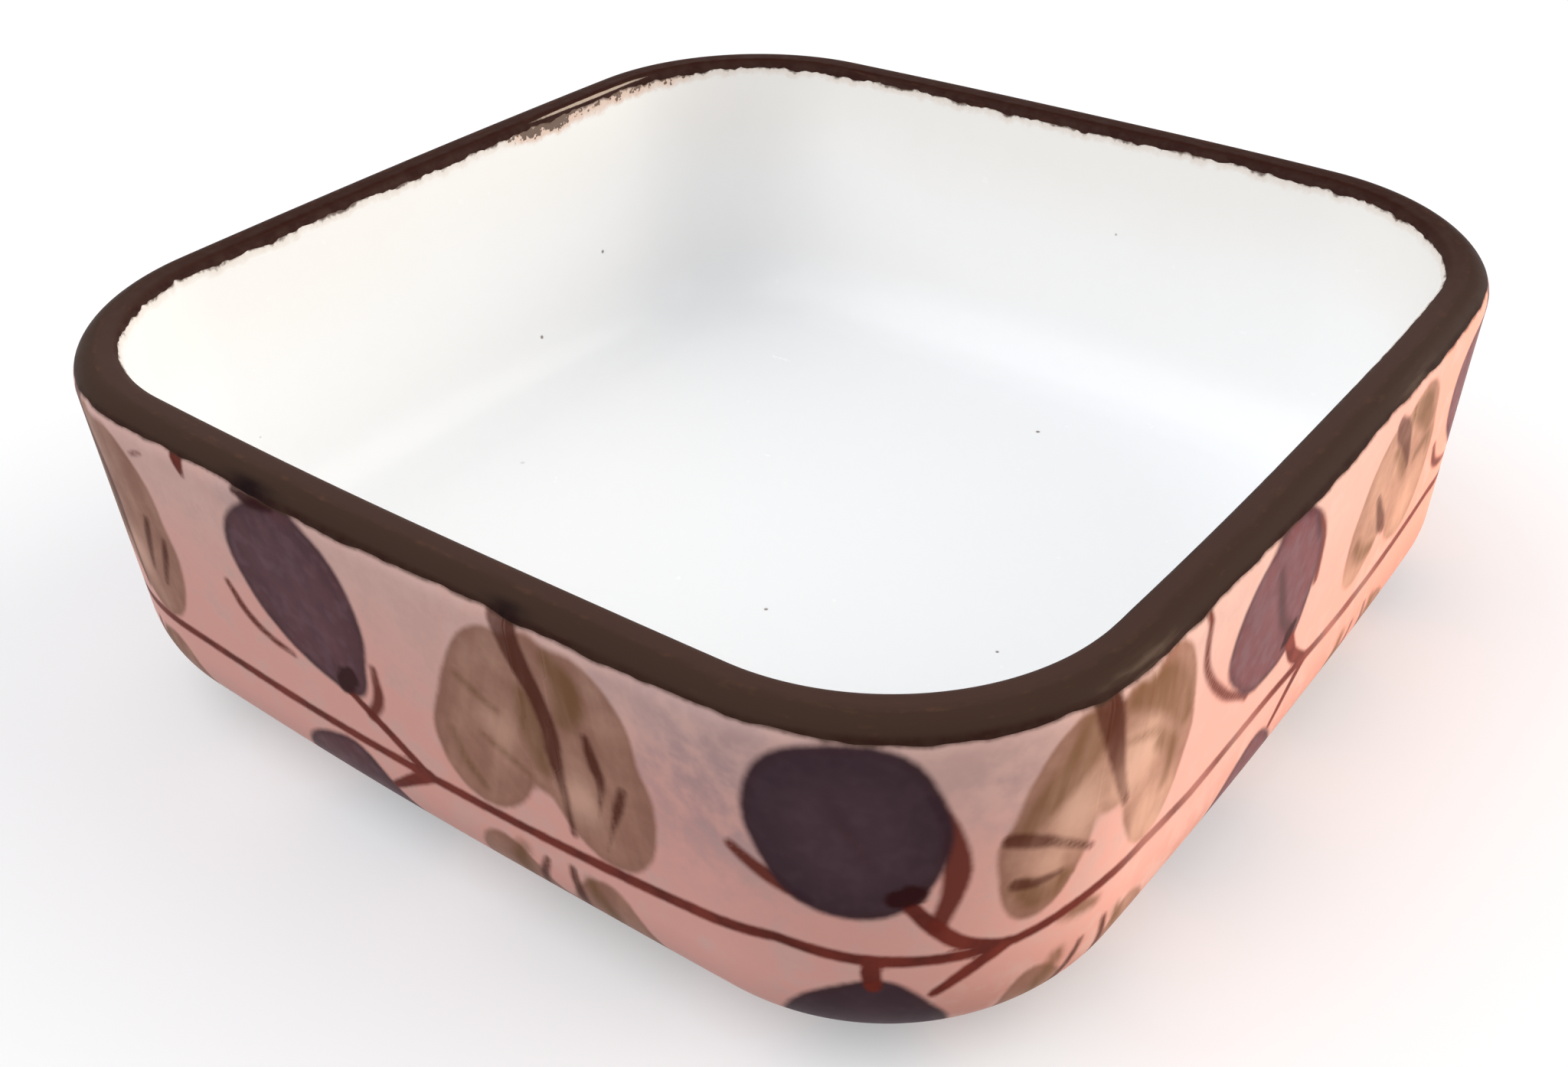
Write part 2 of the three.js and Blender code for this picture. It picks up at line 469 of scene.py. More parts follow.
class RingModel:
    """A mesh drawn ring by ring in edit mode, each skin from a filled circle set to the plan's outline."""

    def __init__(self, name: str, plan: Plan, stations: np.ndarray) -> None:
        """Starts an empty model.

        Args:
            name: Name of the finished piece.
            plan: Outline that the rings follow.
            stations: Where each ring's points lie round the lip.
        """
        self.name = name
        self.plan = plan
        self.stations = stations
        self.made: bpy.types.Object | None = None
        self.facing = Facing.DOWN
        self.inset = 0.0
        self.level = 0.0
        self.fresh = True

    def start(self, inset: float, level: float, facing: Facing) -> None:
        """Adds a filled circle and sets its points to the outline.

        Args:
            inset: Inset of the first ring.
            level: Height of the first ring.
            facing: Which way the circle's face looks.
        """
        if self.made is None:
            bpy.ops.object.select_all(action="DESELECT")
        else:
            bpy.ops.mesh.select_all(action="DESELECT")
        count = len(self.stations)
        bpy.ops.mesh.primitive_circle_add(vertices=count, radius=self.plan.half * MM, fill_type="NGON")
        if self.made is None:
            self.made = bpy.context.object
            self.made.name = self.name
            self.made.data.name = self.name
            bpy.ops.object.mode_set(mode="EDIT")
            bpy.ops.mesh.select_all(action="SELECT")
        bpy.ops.mesh.select_mode(type="FACE")
        drawn = bmesh.from_edit_mesh(self.made.data)
        circle = next(face for face in drawn.faces if face.select)
        if circle.normal.z * facing.value < 0:
            circle.normal_flip()
        along = self.stations if facing is Facing.UP else self.stations[::-1]
        for vertex, (x, y) in zip(circle.verts, self.plan.place(along, inset)):
            vertex.co = (x * MM, y * MM, level * MM)
        drawn.normal_update()
        bmesh.update_edit_mesh(self.made.data)
        self.facing, self.inset, self.level = facing, inset, level
        self.fresh = True

    def ring(self, inset: float, level: float, shrink: bool = False) -> None:
        """Draws the next ring of the skin.

        Args:
            inset: Inset of the new ring.
            level: Height of the new ring.
            shrink: Keeps the last ring's shape and only makes it smaller, as for a flat middle.
        """
        if self.inset < inset and not shrink:
            bpy.ops.mesh.inset(
                use_individual=True,
                use_even_offset=True,
                thickness=(inset - self.inset) * MM,
                depth=(level - self.level) * self.facing.value * MM,
            )
        else:
            share = (self.plan.half - inset) / (self.plan.half - self.inset)
            bpy.ops.mesh.extrude_region_move(
                TRANSFORM_OT_translate={"value": (0, 0, (level - self.level) * MM)}
            )
            if inset < self.inset:
                self.widen(inset)
            else:
                bpy.ops.transform.resize(value=(share, share, 1), center_override=(0, 0, level * MM))
            if self.fresh:
                self.drop_lid(level)
        self.inset, self.level = inset, level
        self.fresh = False

    def widen(self, inset: float) -> None:
        """Sets the ring just drawn to a wider outline, which an inset can't reach.

        Args:
            inset: Inset of that outline.
        """
        drawn = bmesh.from_edit_mesh(self.made.data)
        ring = next(face for face in drawn.faces if face.select)
        places = np.array([vertex.co for vertex in ring.verts]) / MM
        around = self.plan.locate(places[:, 0], places[:, 1])[0]
        for vertex, (x, y) in zip(ring.verts, self.plan.place(around, inset)):
            vertex.co.xy = (x * MM, y * MM)
        bmesh.update_edit_mesh(self.made.data)

    def drop_lid(self, level: float) -> None:
        """Takes away the starting face, which an extrude leaves behind, and picks the new one again.

        Args:
            level: Height of the ring just drawn.
        """
        for height, lid in ((self.level, True), (level, False)):
            bpy.ops.mesh.select_all(action="DESELECT")
            drawn = bmesh.from_edit_mesh(self.made.data)
            for face in drawn.faces:
                whole = len(face.verts) == len(self.stations)
                if whole and abs(face.verts[0].co.z / MM - height) < 1e-3:
                    face.select_set(True)
            bmesh.update_edit_mesh(self.made.data)
            if lid:
                bpy.ops.mesh.delete(type="ONLY_FACE")

    def rings(self, insets: Sequence[float], levels: Sequence[float], shrink: bool = False) -> None:
        """Draws several rings in turn."""
        for inset, level in zip(insets, levels):
            self.ring(float(inset), float(level), shrink)

    def skin(self, insets: np.ndarray, levels: np.ndarray, facing: Facing) -> None:
        """Starts a skin and draws all its rings.

        Args:
            insets: Insets of the rings.
            levels: Their heights.
            facing: Which way the first ring's face looks.
        """
        self.start(float(insets[0]), float(levels[0]), facing)
        self.rings(insets[1:], levels[1:])

    def middle(self, insets: Sequence[float], level: float) -> None:
        """Draws the rings of a flat middle, each the last one's shape made smaller."""
        self.rings(insets, np.full(len(insets), level), shrink=True)

    def open_end(self) -> None:
        """Takes away the skin's last round face."""
        bpy.ops.mesh.delete(type="ONLY_FACE")

    def bridge(self, chosen: Callable[[Vector], bool]) -> None:
        """Joins two open edges with a strip.

        Args:
            chosen: Tells whether a point, in millimetres, lies on one of the two edges.
        """
        bpy.ops.mesh.select_mode(type="EDGE")
        bpy.ops.mesh.select_all(action="DESELECT")
        drawn = bmesh.from_edit_mesh(self.made.data)
        for edge in drawn.edges:
            if edge.is_boundary and all(chosen(vertex.co / MM) for vertex in edge.verts):
                edge.select_set(True)
        bmesh.update_edit_mesh(self.made.data)
        bpy.ops.mesh.bridge_edge_loops()

    def fill(self) -> None:
        """Closes the one open edge that is left with a flat face."""
        bpy.ops.mesh.select_mode(type="EDGE")
        bpy.ops.mesh.select_all(action="DESELECT")
        bpy.ops.mesh.select_non_manifold()
        bpy.ops.mesh.edge_face_add()

    def finish(self) -> bpy.types.Object:
        """Turns all faces outwards, smooths them and leaves edit mode.

        Returns:
            The modelled object.
        """
        bpy.ops.mesh.select_all(action="SELECT")
        bpy.ops.mesh.normals_make_consistent(inside=False)
        bpy.ops.object.mode_set(mode="OBJECT")
        bpy.ops.object.select_all(action="DESELECT")
        self.made.select_set(True)
        bpy.context.view_layer.objects.active = self.made
        bpy.ops.object.shade_smooth_by_angle(angle=math.radians(50))
        return self.made


def places_of(piece: bpy.types.Object) -> np.ndarray:
    """Reads a mesh's points.

    Args:
        piece: The mesh object.

    Returns:
        One row of X, Y and Z for each point, in millimetres.
    """
    flat = np.empty(len(piece.data.vertices) * 3)
    piece.data.vertices.foreach_get("co", flat)
    return flat.reshape(-1, 3) / MM


def settle(piece: bpy.types.Object, places: np.ndarray) -> None:
    """Moves a mesh's points to the given places, in millimetres."""
    piece.data.vertices.foreach_set("co", (places * MM).ravel())
    piece.data.update()


def note(piece: bpy.types.Object, name: str, values: np.ndarray) -> None:
    """Stores a number or a vector for each point, for the piece's finish to read.

    Args:
        piece: The mesh object.
        name: Name of the attribute.
        values: One number, or one row of three, for each point.
    """
    if values.ndim == 1:
        kept = piece.data.attributes.new(name, "FLOAT", "POINT")
        kept.data.foreach_set("value", values.astype(np.float32))
    else:
        kept = piece.data.attributes.new(name, "FLOAT_VECTOR", "POINT")
        kept.data.foreach_set("vector", values.astype(np.float32).ravel())


Feed = "Wire | float | int | Sequence[float]"


class Wire:
    """A node's output that Python arithmetic works on."""

    def __init__(self, sheet: NodeSheet, socket: bpy.types.NodeSocket) -> None:
        """Keeps the socket and the sheet that it is on."""
        self.sheet = sheet
        self.socket = socket

    def maths(self, operation: str, first: Feed, second: Feed) -> Wire:
        """Adds one Math node."""
        return self.sheet.add("ShaderNodeMath", {"operation": operation}, {0: first, 1: second})

    def __add__(self, other: Feed) -> Wire:
        """Adds to the value."""
        return self.maths("ADD", self, other)

    def __radd__(self, other: Feed) -> Wire:
        """Adds the value to a number."""
        return self.maths("ADD", other, self)

    def __sub__(self, other: Feed) -> Wire:
        """Takes from the value."""
        return self.maths("SUBTRACT", self, other)

    def __rsub__(self, other: Feed) -> Wire:
        """Takes the value from a number."""
        return self.maths("SUBTRACT", other, self)

    def __mul__(self, other: Feed) -> Wire:
        """Multiplies the value."""
        return self.maths("MULTIPLY", self, other)

    def __rmul__(self, other: Feed) -> Wire:
        """Multiplies a number by the value."""
        return self.maths("MULTIPLY", other, self)

    def most(self, other: Feed) -> Wire:
        """The larger of two values."""
        return self.maths("MAXIMUM", self, other)

    def step(self, low: float, high: float, start: float = 0.0, end: float = 1.0) -> Wire:
        """Maps the value smoothly, from start at low to end at high.

        Args:
            low: Value that gives start.
            high: Value that gives end.
            start: Result at low and on the side of it away from high.
            end: Result at high and on the side of it away from low.

        Returns:
            The mapped value.
        """
        if low > high:
            low, high, start, end = high, low, end, start
        limits = {"From Min": low, "From Max": high, "To Min": start, "To Max": end}
        settings = {"interpolation_type": "SMOOTHSTEP"}
        return self.sheet.add("ShaderNodeMapRange", settings, {"Value": self, **limits})


class NodeSheet:
    """The node tree of a material or of the sky, with one method that adds nodes."""

    def __init__(self, owner: bpy.types.Material | bpy.types.World) -> None:
        """Empties the owner's tree."""
        self.owner = owner
        owner.use_nodes = True
        self.tree = owner.node_tree
        self.tree.nodes.clear()

    def place(
        self, kind: str, settings: dict[str, object], sockets: dict[str | int, Feed]
    ) -> bpy.types.Node:
        """Adds a node.

        Args:
            kind: The node's type.
            settings: Properties, which are set first.
            sockets: Values or wires for its inputs.

        Returns:
            The node.
        """
        node = self.tree.nodes.new(kind)
        for name, value in settings.items():
            setattr(node, name, value)
        for key, feed in sockets.items():
            if isinstance(feed, Wire):
                self.tree.links.new(feed.socket, node.inputs[key])
            else:
                node.inputs[key].default_value = feed
        return node

    def add(
        self,
        kind: str,
        settings: dict[str, object],
        sockets: dict[str | int, Feed],
        output: str | int = 0,
    ) -> Wire:
        """Adds a node and takes one of its outputs.

        Args:
            kind: The node's type.
            settings: Properties, which are set first.
            sockets: Values or wires for its inputs.
            output: The output that is wanted.

        Returns:
            That output.
        """
        return Wire(self, self.place(kind, settings, sockets).outputs[output])

    def blend(self, first: Feed, second: Feed, share: Feed) -> Wire:
        """Mixes two colours.

        Args:
            first: Colour at share 0.
            second: Colour at share 1.
            share: How much of the second.

        Returns:
            The mixed colour.
        """
        settings = {"data_type": "RGBA", "clamp_factor": True}
        return self.add("ShaderNodeMix", settings, {0: share, 6: first, 7: second}, 2)

    def kept(self, name: str, output: str = "Fac") -> Wire:
        """Reads one of the piece's own attributes."""
        return self.add("ShaderNodeAttribute", {"attribute_name": name}, {}, output)

    def places(self) -> Wire:
        """Object coordinates."""
        return self.add("ShaderNodeTexCoord", {}, {}, "Object")

    def axis(self, places: Wire, index: int) -> Wire:
        """One part of a vector, in metres."""
        return self.add("ShaderNodeSeparateXYZ", {}, {0: places}, index)

    def height(self, places: Wire) -> Wire:
        """The Z of a vector, in millimetres."""
        return self.axis(places, 2) * (1 / MM)

    def noise(self, places: Wire, size: float, detail: float = 2.0, rough: float = 0.5) -> Wire:
        """Cloudy noise.

        Args:
            places: Where to read it.
            size: Size of a cloud, in millimetres.
            detail: Octaves.
            rough: How strong the finer octaves are.

        Returns:
            Values round 0.5.
        """
        sockets = {"Vector": places, "Scale": 1 / (size * MM), "Detail": detail, "Roughness": rough}
        return self.add("ShaderNodeTexNoise", {}, sockets, 0)

    def stretched(self, places: Wire, scale: Sequence[float]) -> Wire:
        """Scales a vector by parts."""
        return self.add("ShaderNodeVectorMath", {"operation": "MULTIPLY"}, {0: places, 1: scale})

    def bump(self, height: Wire, distance: float, strength: float) -> Wire:
        """Makes a normal from a height.

        Args:
            height: Height of 0 to 1.
            distance: Depth of a full step, in millimetres.
            strength: How much of it shows.

        Returns:
            The normal.
        """
        sockets = {"Height": height, "Distance": distance * MM, "Strength": strength}
        return self.add("ShaderNodeBump", {}, sockets)

    def shown(self) -> Wire:
        """1 for the rays that show the background: the camera's, and those of gloss and glass."""
        kinds = ("Is Camera Ray", "Is Glossy Ray", "Is Transmission Ray")
        camera, gloss, glass = (self.add("ShaderNodeLightPath", {}, {}, kind) for kind in kinds)
        return camera.most(gloss).most(glass)

    def surface(self, **sockets: Feed) -> bpy.types.Material:
        """Ends a material's tree in one Principled shader.

        Args:
            **sockets: Its inputs, with _ for a space in the name.

        Returns:
            The material.
        """
        named = {key.replace("_", " "): feed for key, feed in sockets.items()}
        shader = self.add("ShaderNodeBsdfPrincipled", {}, named)
        self.place("ShaderNodeOutputMaterial", {}, {"Surface": shader})
        return self.owner


@dataclass(frozen=True)
class PinkGlaze:
    """Satin pink glaze over the brushed border, greyer towards the lip where it ran thin, with painted
    warm light and painted shade on its +X side.
    """

    name: str = "pink_glaze_painted"
    low: Colour = tint(232, 174, 164)
    high: Colour = tint(222, 184, 176)
    flush_and_warm_light: Colour = tint(236, 162, 145)
    # flush_and_warm_light: peach laid in random patches, and also as painted warm light on the +X side.
    dull: Colour = tint(204, 166, 160)
    # lower_tone here is painted shade on the lower part of the +X side.
    lower_tone: Colour = tint(180, 118, 104)
    leaf: Colour = tint(146, 102, 86)
    leaf_thin: Colour = tint(204, 166, 140)
    shade: Colour = tint(120, 84, 54)
    vein: Colour = tint(84, 40, 28)
    fruit: Colour = tint(116, 70, 76)
    fruit_dark: Colour = tint(60, 44, 53)
    bloom: Colour = tint(120, 92, 102)
    stem: Colour = tint(122, 50, 40)
    stem_dark: Colour = tint(92, 35, 28)
    calyx: Colour = tint(50, 16, 18)
    husk: Colour = tint(104, 40, 28)
    crease: Colour = tint(58, 32, 38)
    blot: Colour = tint(150, 131, 140)
    band: Colour = tint(70, 50, 40)
    softness: float = 0.75
    # The +X side's span along X and its far end's span along Y, in metres, where the warm light and shade
    # are painted.
    right_side: Pair = (0.07, 0.098)
    far_end: Pair = (-0.02, 0.06)

    def material(self) -> bpy.types.Material:
        """Builds the material.

        Returns:
            The painted glaze.
        """
        sheet = NodeSheet(bpy.data.materials.new(self.name))
        places = sheet.places()
        height = sheet.height(places)
        cloud = sheet.noise(places, 34, 3, 0.55)
        mottle = sheet.noise(places, 6.5, 3, 0.6)
        grain = sheet.noise(places, 1.3, 2, 0.5)
        pale = (height + (cloud - 0.5) * 34).step(34, 66)
        ground = sheet.blend(self.low, self.high, pale)
        # Painted warm light and painted shade: side picks out the +X side, and fired picks out that side
        # more towards its far end.
        side = sheet.axis(places, 0).step(*self.right_side)
        fired = side * sheet.axis(places, 1).step(*self.far_end)
        ground = sheet.blend(ground, self.flush_and_warm_light, (cloud + (mottle - 0.5) * 0.5).step(0.5, 0.8, 0, 0.6))
        # Painted warm light: the +X side is flushed peach, as the warm lamps light it.
        ground = sheet.blend(ground, self.flush_and_warm_light, fired * 0.85)
        # Painted shade: the lower +X side is darkened where its roll turns down, away from the light.
        ground = sheet.blend(ground, self.lower_tone, side * height.step(28, 8, 0, 0.8))
        ground = sheet.blend(ground, self.high, (mottle + (cloud - 0.5) * 0.6).step(0.46, 0.7, 0, 0.6))
        ashen = (height * 0.006 + mottle * 0.7 + grain * 0.3).step(0.72, 1.0, 0, 0.35)
        ground = sheet.blend(ground, self.dull, ashen)
        colour = self.painted(sheet, ground, mottle, grain, sheet.noise(places, 2.8, 1.5, 0.5))
        rough = 0.4 + (mottle - 0.5) * 0.16 + (grain - 0.5) * 0.06
        swell = sheet.bump(sheet.noise(places, 9, 2, 0.5), 0.25, 0.35)
        return sheet.surface(Base_Color=colour, Roughness=rough, Normal=swell, Specular_IOR_Level=0.02)

    def painted(self, sheet: NodeSheet, ground: Wire, mottle: Wire, grain: Wire, dapple: Wire) -> Wire:
        """Lays the border's paints over the ground, from the first brushed to the last.

        Args:
            sheet: The material's nodes.
            ground: Colour of the bare glaze.
            mottle: Noise of several millimetres.
            grain: Noise of about a millimetre.
            dapple: Noise of about three millimetres.

        Returns:
            The painted colour.
        """
        soft = self.softness
        waver = (mottle - 0.5) * 1.5 + (grain - 0.5) * 0.9
        brush = sheet.stretched(sheet.kept("brush", "Vector"), (0.7, 0.26, 3.1))
        streak = sheet.noise(brush, 1 / MM, 2.0, 0.55)
        colour = sheet.blend(ground, self.blot, sheet.kept("blot") * mottle.step(0.3, 0.62, 0.2, 1.0))

        leaf = sheet.kept("leaf") + waver * 0.5
        thin = sheet.kept("thin")
        edge = leaf.step(-2.4, -0.2)
        wash = (mottle - 0.5) * 0.9 + (streak - 0.5) * 0.8
        tone = 0.78 + wash * 0.6 + edge * 0.06 - thin * 0.9
        paint = sheet.blend(self.leaf_thin, self.leaf, tone.step(0.0, 1.0))
        cover = 0.68 + tone.step(0.0, 1.0) * 0.26 - thin * 0.2
        colour = sheet.blend(colour, paint, leaf.step(0.8, -0.7) * cover)
        shade = sheet.kept("shade") + waver * 0.8
        cover = shade.step(1.5, -1.2) * streak.step(0.25, 0.65, 0.5, 0.88)
        colour = sheet.blend(colour, self.shade, cover)
        vein = sheet.kept("vein") + waver * 0.45
        cover = vein.step(0.75, -0.6) * streak.step(0.2, 0.6, 0.75, 0.95) * (1 - thin * 0.55)
        colour = sheet.blend(colour, self.vein, cover)
        husk = sheet.kept("husk") + waver * 0.35
        colour = sheet.blend(colour, self.husk, husk.step(0.8, -0.6) * 0.95)

        fruit = sheet.kept("fruit") + waver * 0.4
        load = sheet.kept("load")
        depth = load + (mottle - 0.5) * 0.5 + (streak - 0.5) * 0.5
        skin = sheet.blend(self.fruit, self.fruit_dark, depth)
        dusty = (dapple + (mottle - 0.5) * 0.5).step(0.4, 0.72) * (0.55 - load * 0.4)
        skin = sheet.blend(skin, self.bloom, dusty)
        ring = fruit.step(-2.2, -0.3) * mottle.step(0.3, 0.7, 0.25, 0.7)
        skin = sheet.blend(skin, self.crease, ring)
        skin = sheet.blend(skin, self.bloom, fruit.step(-2.5, -9.0) * 0.16)
        line = sheet.kept("line") + waver * 0.6
        skin = sheet.blend(skin, self.crease, line.step(1.3, -0.9) * (0.75 - load * 0.3))
        colour = sheet.blend(colour, skin, fruit.step(soft, -soft) * 0.98)

        stem = sheet.kept("stem") + waver * 0.28
        brown = sheet.blend(self.stem, self.stem_dark, mottle.step(0.35, 0.7))
        colour = sheet.blend(colour, brown, stem.step(0.55, -0.4) * (0.98 - thin * 0.55))
        calyx = sheet.kept("calyx") + waver * 0.4
        colour = sheet.blend(colour, self.calyx, calyx.step(0.6, -0.7) * 0.95)
        bleed = sheet.kept("band") + waver * 0.5
        return sheet.blend(colour, self.band, bleed.step(0.7, -0.15) * 0.85)


@dataclass(frozen=True)
class BrownGlaze:
    """Dark iron glaze on the lip, redder at its edges and on the two far sides, and worn in places; its
    top is painted lighter than its outer face, and a painted sheen runs along its outer crest.
    """

    name: str = "brown_glaze_band"
    # shaded_brown is the band's outer face, painted darker as shade; crest is its top and inner side,
    # painted lighter as light from above.
    shaded_brown: Colour = tint(66, 49, 41)
    crest: Colour = tint(73, 53, 47)
    # breaking_and_sheen: paler glaze for random breaking patches, and for the painted sheen along the
    # outer crest.
    breaking_and_sheen: Colour = tint(96, 66, 52)
    red: Colour = tint(50, 27, 24)
    worn: Colour = tint(196, 176, 158)
    dab: Colour = tint(30, 18, 20)
    olive: Colour = tint(114, 94, 80)
    ember: Colour = tint(46, 17, 8)
    far_way: Pair = (-0.61, 0.79)

    def material(self) -> bpy.types.Material:
        """Builds the material.

        Returns:
            The band's glaze.
        """
        sheet = NodeSheet(bpy.data.materials.new(self.name))
        places = sheet.places()
        lay = sheet.kept("lay", "Vector")
        across = sheet.kept("across")
        streak = sheet.noise(sheet.stretched(lay, (1, 1, 7)), 9, 3, 0.55)
        mottle = sheet.noise(places, 3.2, 3, 0.6)
        # Painted light and shade: the top and inner side of the band are lighter than its outer face.
        inner = (across + (streak - 0.5) * 2.4).step(-0.6, 1.2)
        colour = sheet.blend(self.shaded_brown, self.crest, inner)
        x, y = (sheet.axis(places, index) * part for index, part in enumerate(self.far_way))
        hot = (y + x).step(-0.03, 0.03) * across.step(4.4, 2.8)
        colour = sheet.blend(colour, self.ember, hot * mottle.step(0.2, 0.7, 0.65, 0.9))
        # Wear and painted sheen: a lighter line along the outer crest, partly glaze breaking thin there,
        # partly a painted highlight.
        crest_wear_and_sheen = (across - 0.1 + (streak - 0.5) * 1.6).step(-0.7, 0)
        crest_wear_and_sheen = crest_wear_and_sheen * (across + (streak - 0.5)).step(0.9, 0.1)
        colour = sheet.blend(colour, self.breaking_and_sheen, crest_wear_and_sheen * mottle.step(0.45, 0.75) * 0.4)
        foot = across.step(-3.1, -4.1).most(across.step(2.6, 4.0))
        colour = sheet.blend(colour, self.red, foot * mottle.step(0.3, 0.7, 0.35, 0.85))
        patches = (streak + (mottle - 0.5) * 0.6).step(0.6, 0.85, 0, 0.3)
        colour = sheet.blend(colour, self.breaking_and_sheen, patches)
        colour = sheet.blend(colour, self.dab, sheet.kept("dab") * mottle.step(0.2, 0.6, 0.6, 1.0))
        colour = sheet.blend(colour, self.olive, sheet.kept("olive") * streak.step(0.35, 0.7, 0.1, 0.75))
        wear = sheet.kept("wear") + (mottle - 0.5) * 0.5
        colour = sheet.blend(colour, self.worn, wear.step(0.4, 0.65, 0, 0.9))
        rough = 0.42 + (mottle - 0.5) * 0.22
        swell = sheet.bump(streak + mottle * 0.5, 0.12, 0.3)
        return sheet.surface(Base_Color=colour, Roughness=rough, Normal=swell, Specular_IOR_Level=0.012)


@dataclass(frozen=True)
class WhiteGlaze:
    """Glossy white glaze in the well, with pinholes and a stained, worn edge under the band."""

    name: str = "white_glaze_liner"
    white: Colour = tint(249, 249, 249)
    cream: Colour = tint(247, 244, 240)
    lower_tone: Colour = tint(245, 247, 250)
    stain: Colour = tint(214, 190, 170)
    speck: Colour = tint(88, 66, 54)
    bare: Colour = tint(222, 186, 164)

    def material(self) -> bpy.types.Material:
        """Builds the material.

        Returns:
            The liner's glaze.
        """
        sheet = NodeSheet(bpy.data.materials.new(self.name))
        places = sheet.places()
        height = sheet.height(places)
        cloud = sheet.noise(places, 40, 2, 0.5)
        mottle = sheet.noise(places, 4.2, 3, 0.6)
        grain = sheet.noise(places, 1.1, 2, 0.55)
        colour = sheet.blend(self.white, self.lower_tone, (height + (cloud - 0.5) * 8).step(26, 12, 0, 0.8))
        colour = sheet.blend(colour, self.cream, (height + (cloud - 0.5) * 26).step(38, 60, 0, 0.8))
        edge = sheet.kept("edge")
        ragged = edge + (mottle - 0.5) * 2.6 + (grain - 0.5) * 1.2
        colour = sheet.blend(colour, self.stain, ragged.step(2.3, 0.3, 0, 0.4))
        wear = sheet.kept("wear") + (mottle - 0.5) * 0.8
        colour = sheet.blend(colour, self.bare, (wear + (grain - 0.5) * 0.3).step(0.3, 0.75, 0, 0.75))
        blotch = wear + (mottle - 0.5) * 1.2 + (grain - 0.5) * 1.5 - edge * 0.14
        colour = sheet.blend(colour, self.speck, blotch.step(0.6, 0.72, 0, 0.88))
        colour = sheet.blend(colour, self.speck, ragged.step(0.5, -0.25, 0, 0.9))
        cells = {"Vector": places, "Scale": 1 / (8 * MM)}
        near = sheet.add("ShaderNodeTexVoronoi", {}, cells, "Distance") * 8
        chance = sheet.add("ShaderNodeTexVoronoi", {}, cells, "Color")
        pick = sheet.add("ShaderNodeSeparateColor", {}, {0: chance}, 0)
        size = sheet.add("ShaderNodeSeparateColor", {}, {0: chance}, 1)
        hole = (near - size * 0.3).step(0.42, 0.12) * pick.step(0.8, 0.83)
        colour = sheet.blend(colour, self.speck, hole * 0.8)
        rough = 0.26 + (mottle - 0.5) * 0.06 + ragged.step(2.3, 0.3) * 0.2 + hole * 0.4
        relief = sheet.noise(places, 22, 2, 0.5) + mottle * 0.05
        swell = sheet.bump(relief, 0.4, 0.25)
        return sheet.surface(Base_Color=colour, Roughness=rough, Normal=swell, Specular_IOR_Level=0.25)


@dataclass(frozen=True)
class BaseGlaze:
    """Thin pink wash on the clay inside the foot ring."""

    name: str = "base_glaze_wash"
    wash: Colour = tint(224, 182, 170)
    thin: Colour = tint(208, 160, 136)
    pool: Colour = tint(232, 200, 190)

    def material(self) -> bpy.types.Material:
        """Builds the material.

        Returns:
            The wash.
        """
        sheet = NodeSheet(bpy.data.materials.new(self.name))
        places = sheet.places()
        cloud = sheet.noise(places, 26, 3, 0.6)
        grain = sheet.noise(places, 1.4, 3, 0.6)
        colour = sheet.blend(self.wash, self.thin, (cloud + (grain - 0.5) * 0.4).step(0.45, 0.72))
        colour = sheet.blend(colour, self.pool, (cloud - (grain - 0.5) * 0.2).step(0.4, 0.25, 0, 0.7))
        rough = 0.42 + (cloud - 0.5) * 0.3
        swell = sheet.bump(grain + cloud, 0.15, 0.3)
        return sheet.surface(Base_Color=colour, Roughness=rough, Normal=swell)


@dataclass(frozen=True)
class BareClay:
    """Unglazed fired clay, sandy, rubbed paler where it stands."""

    name: str = "bare_clay"
    clay: Colour = tint(196, 150, 120)
    dark: Colour = tint(160, 112, 86)
    grit: Colour = tint(112, 84, 70)
    rubbed: Colour = tint(214, 178, 150)

    def material(self) -> bpy.types.Material:
        """Builds the material.

        Returns:
            The clay.
        """
        sheet = NodeSheet(bpy.data.materials.new(self.name))
        places = sheet.places()
        height = sheet.height(places)
        cloud = sheet.noise(places, 18, 3, 0.6)
        grain = sheet.noise(places, 0.8, 3, 0.65)
        colour = sheet.blend(self.clay, self.dark, cloud.step(0.4, 0.75, 0, 0.8))
        colour = sheet.blend(colour, self.rubbed, (height + (cloud - 0.5) * 2).step(0.9, 0.1, 0, 0.75))
        colour = sheet.blend(colour, self.grit, grain.step(0.62, 0.74, 0, 0.7))
        rough = 0.86 + (grain - 0.5) * 0.2
        swell = sheet.bump(grain, 0.2, 0.6)
        return sheet.surface(Base_Color=colour, Roughness=rough, Normal=swell, Specular_IOR_Level=0.25)


class Paint(Enum):
    """The border's paints, each with its own distance field on the outer coat."""

    FRUIT = "fruit"
    LEAF = "leaf"
    STEM = "stem"
    VEIN = "vein"
    CALYX = "calyx"
    HUSK = "husk"
    SHADE = "shade"
    LINE = "line"


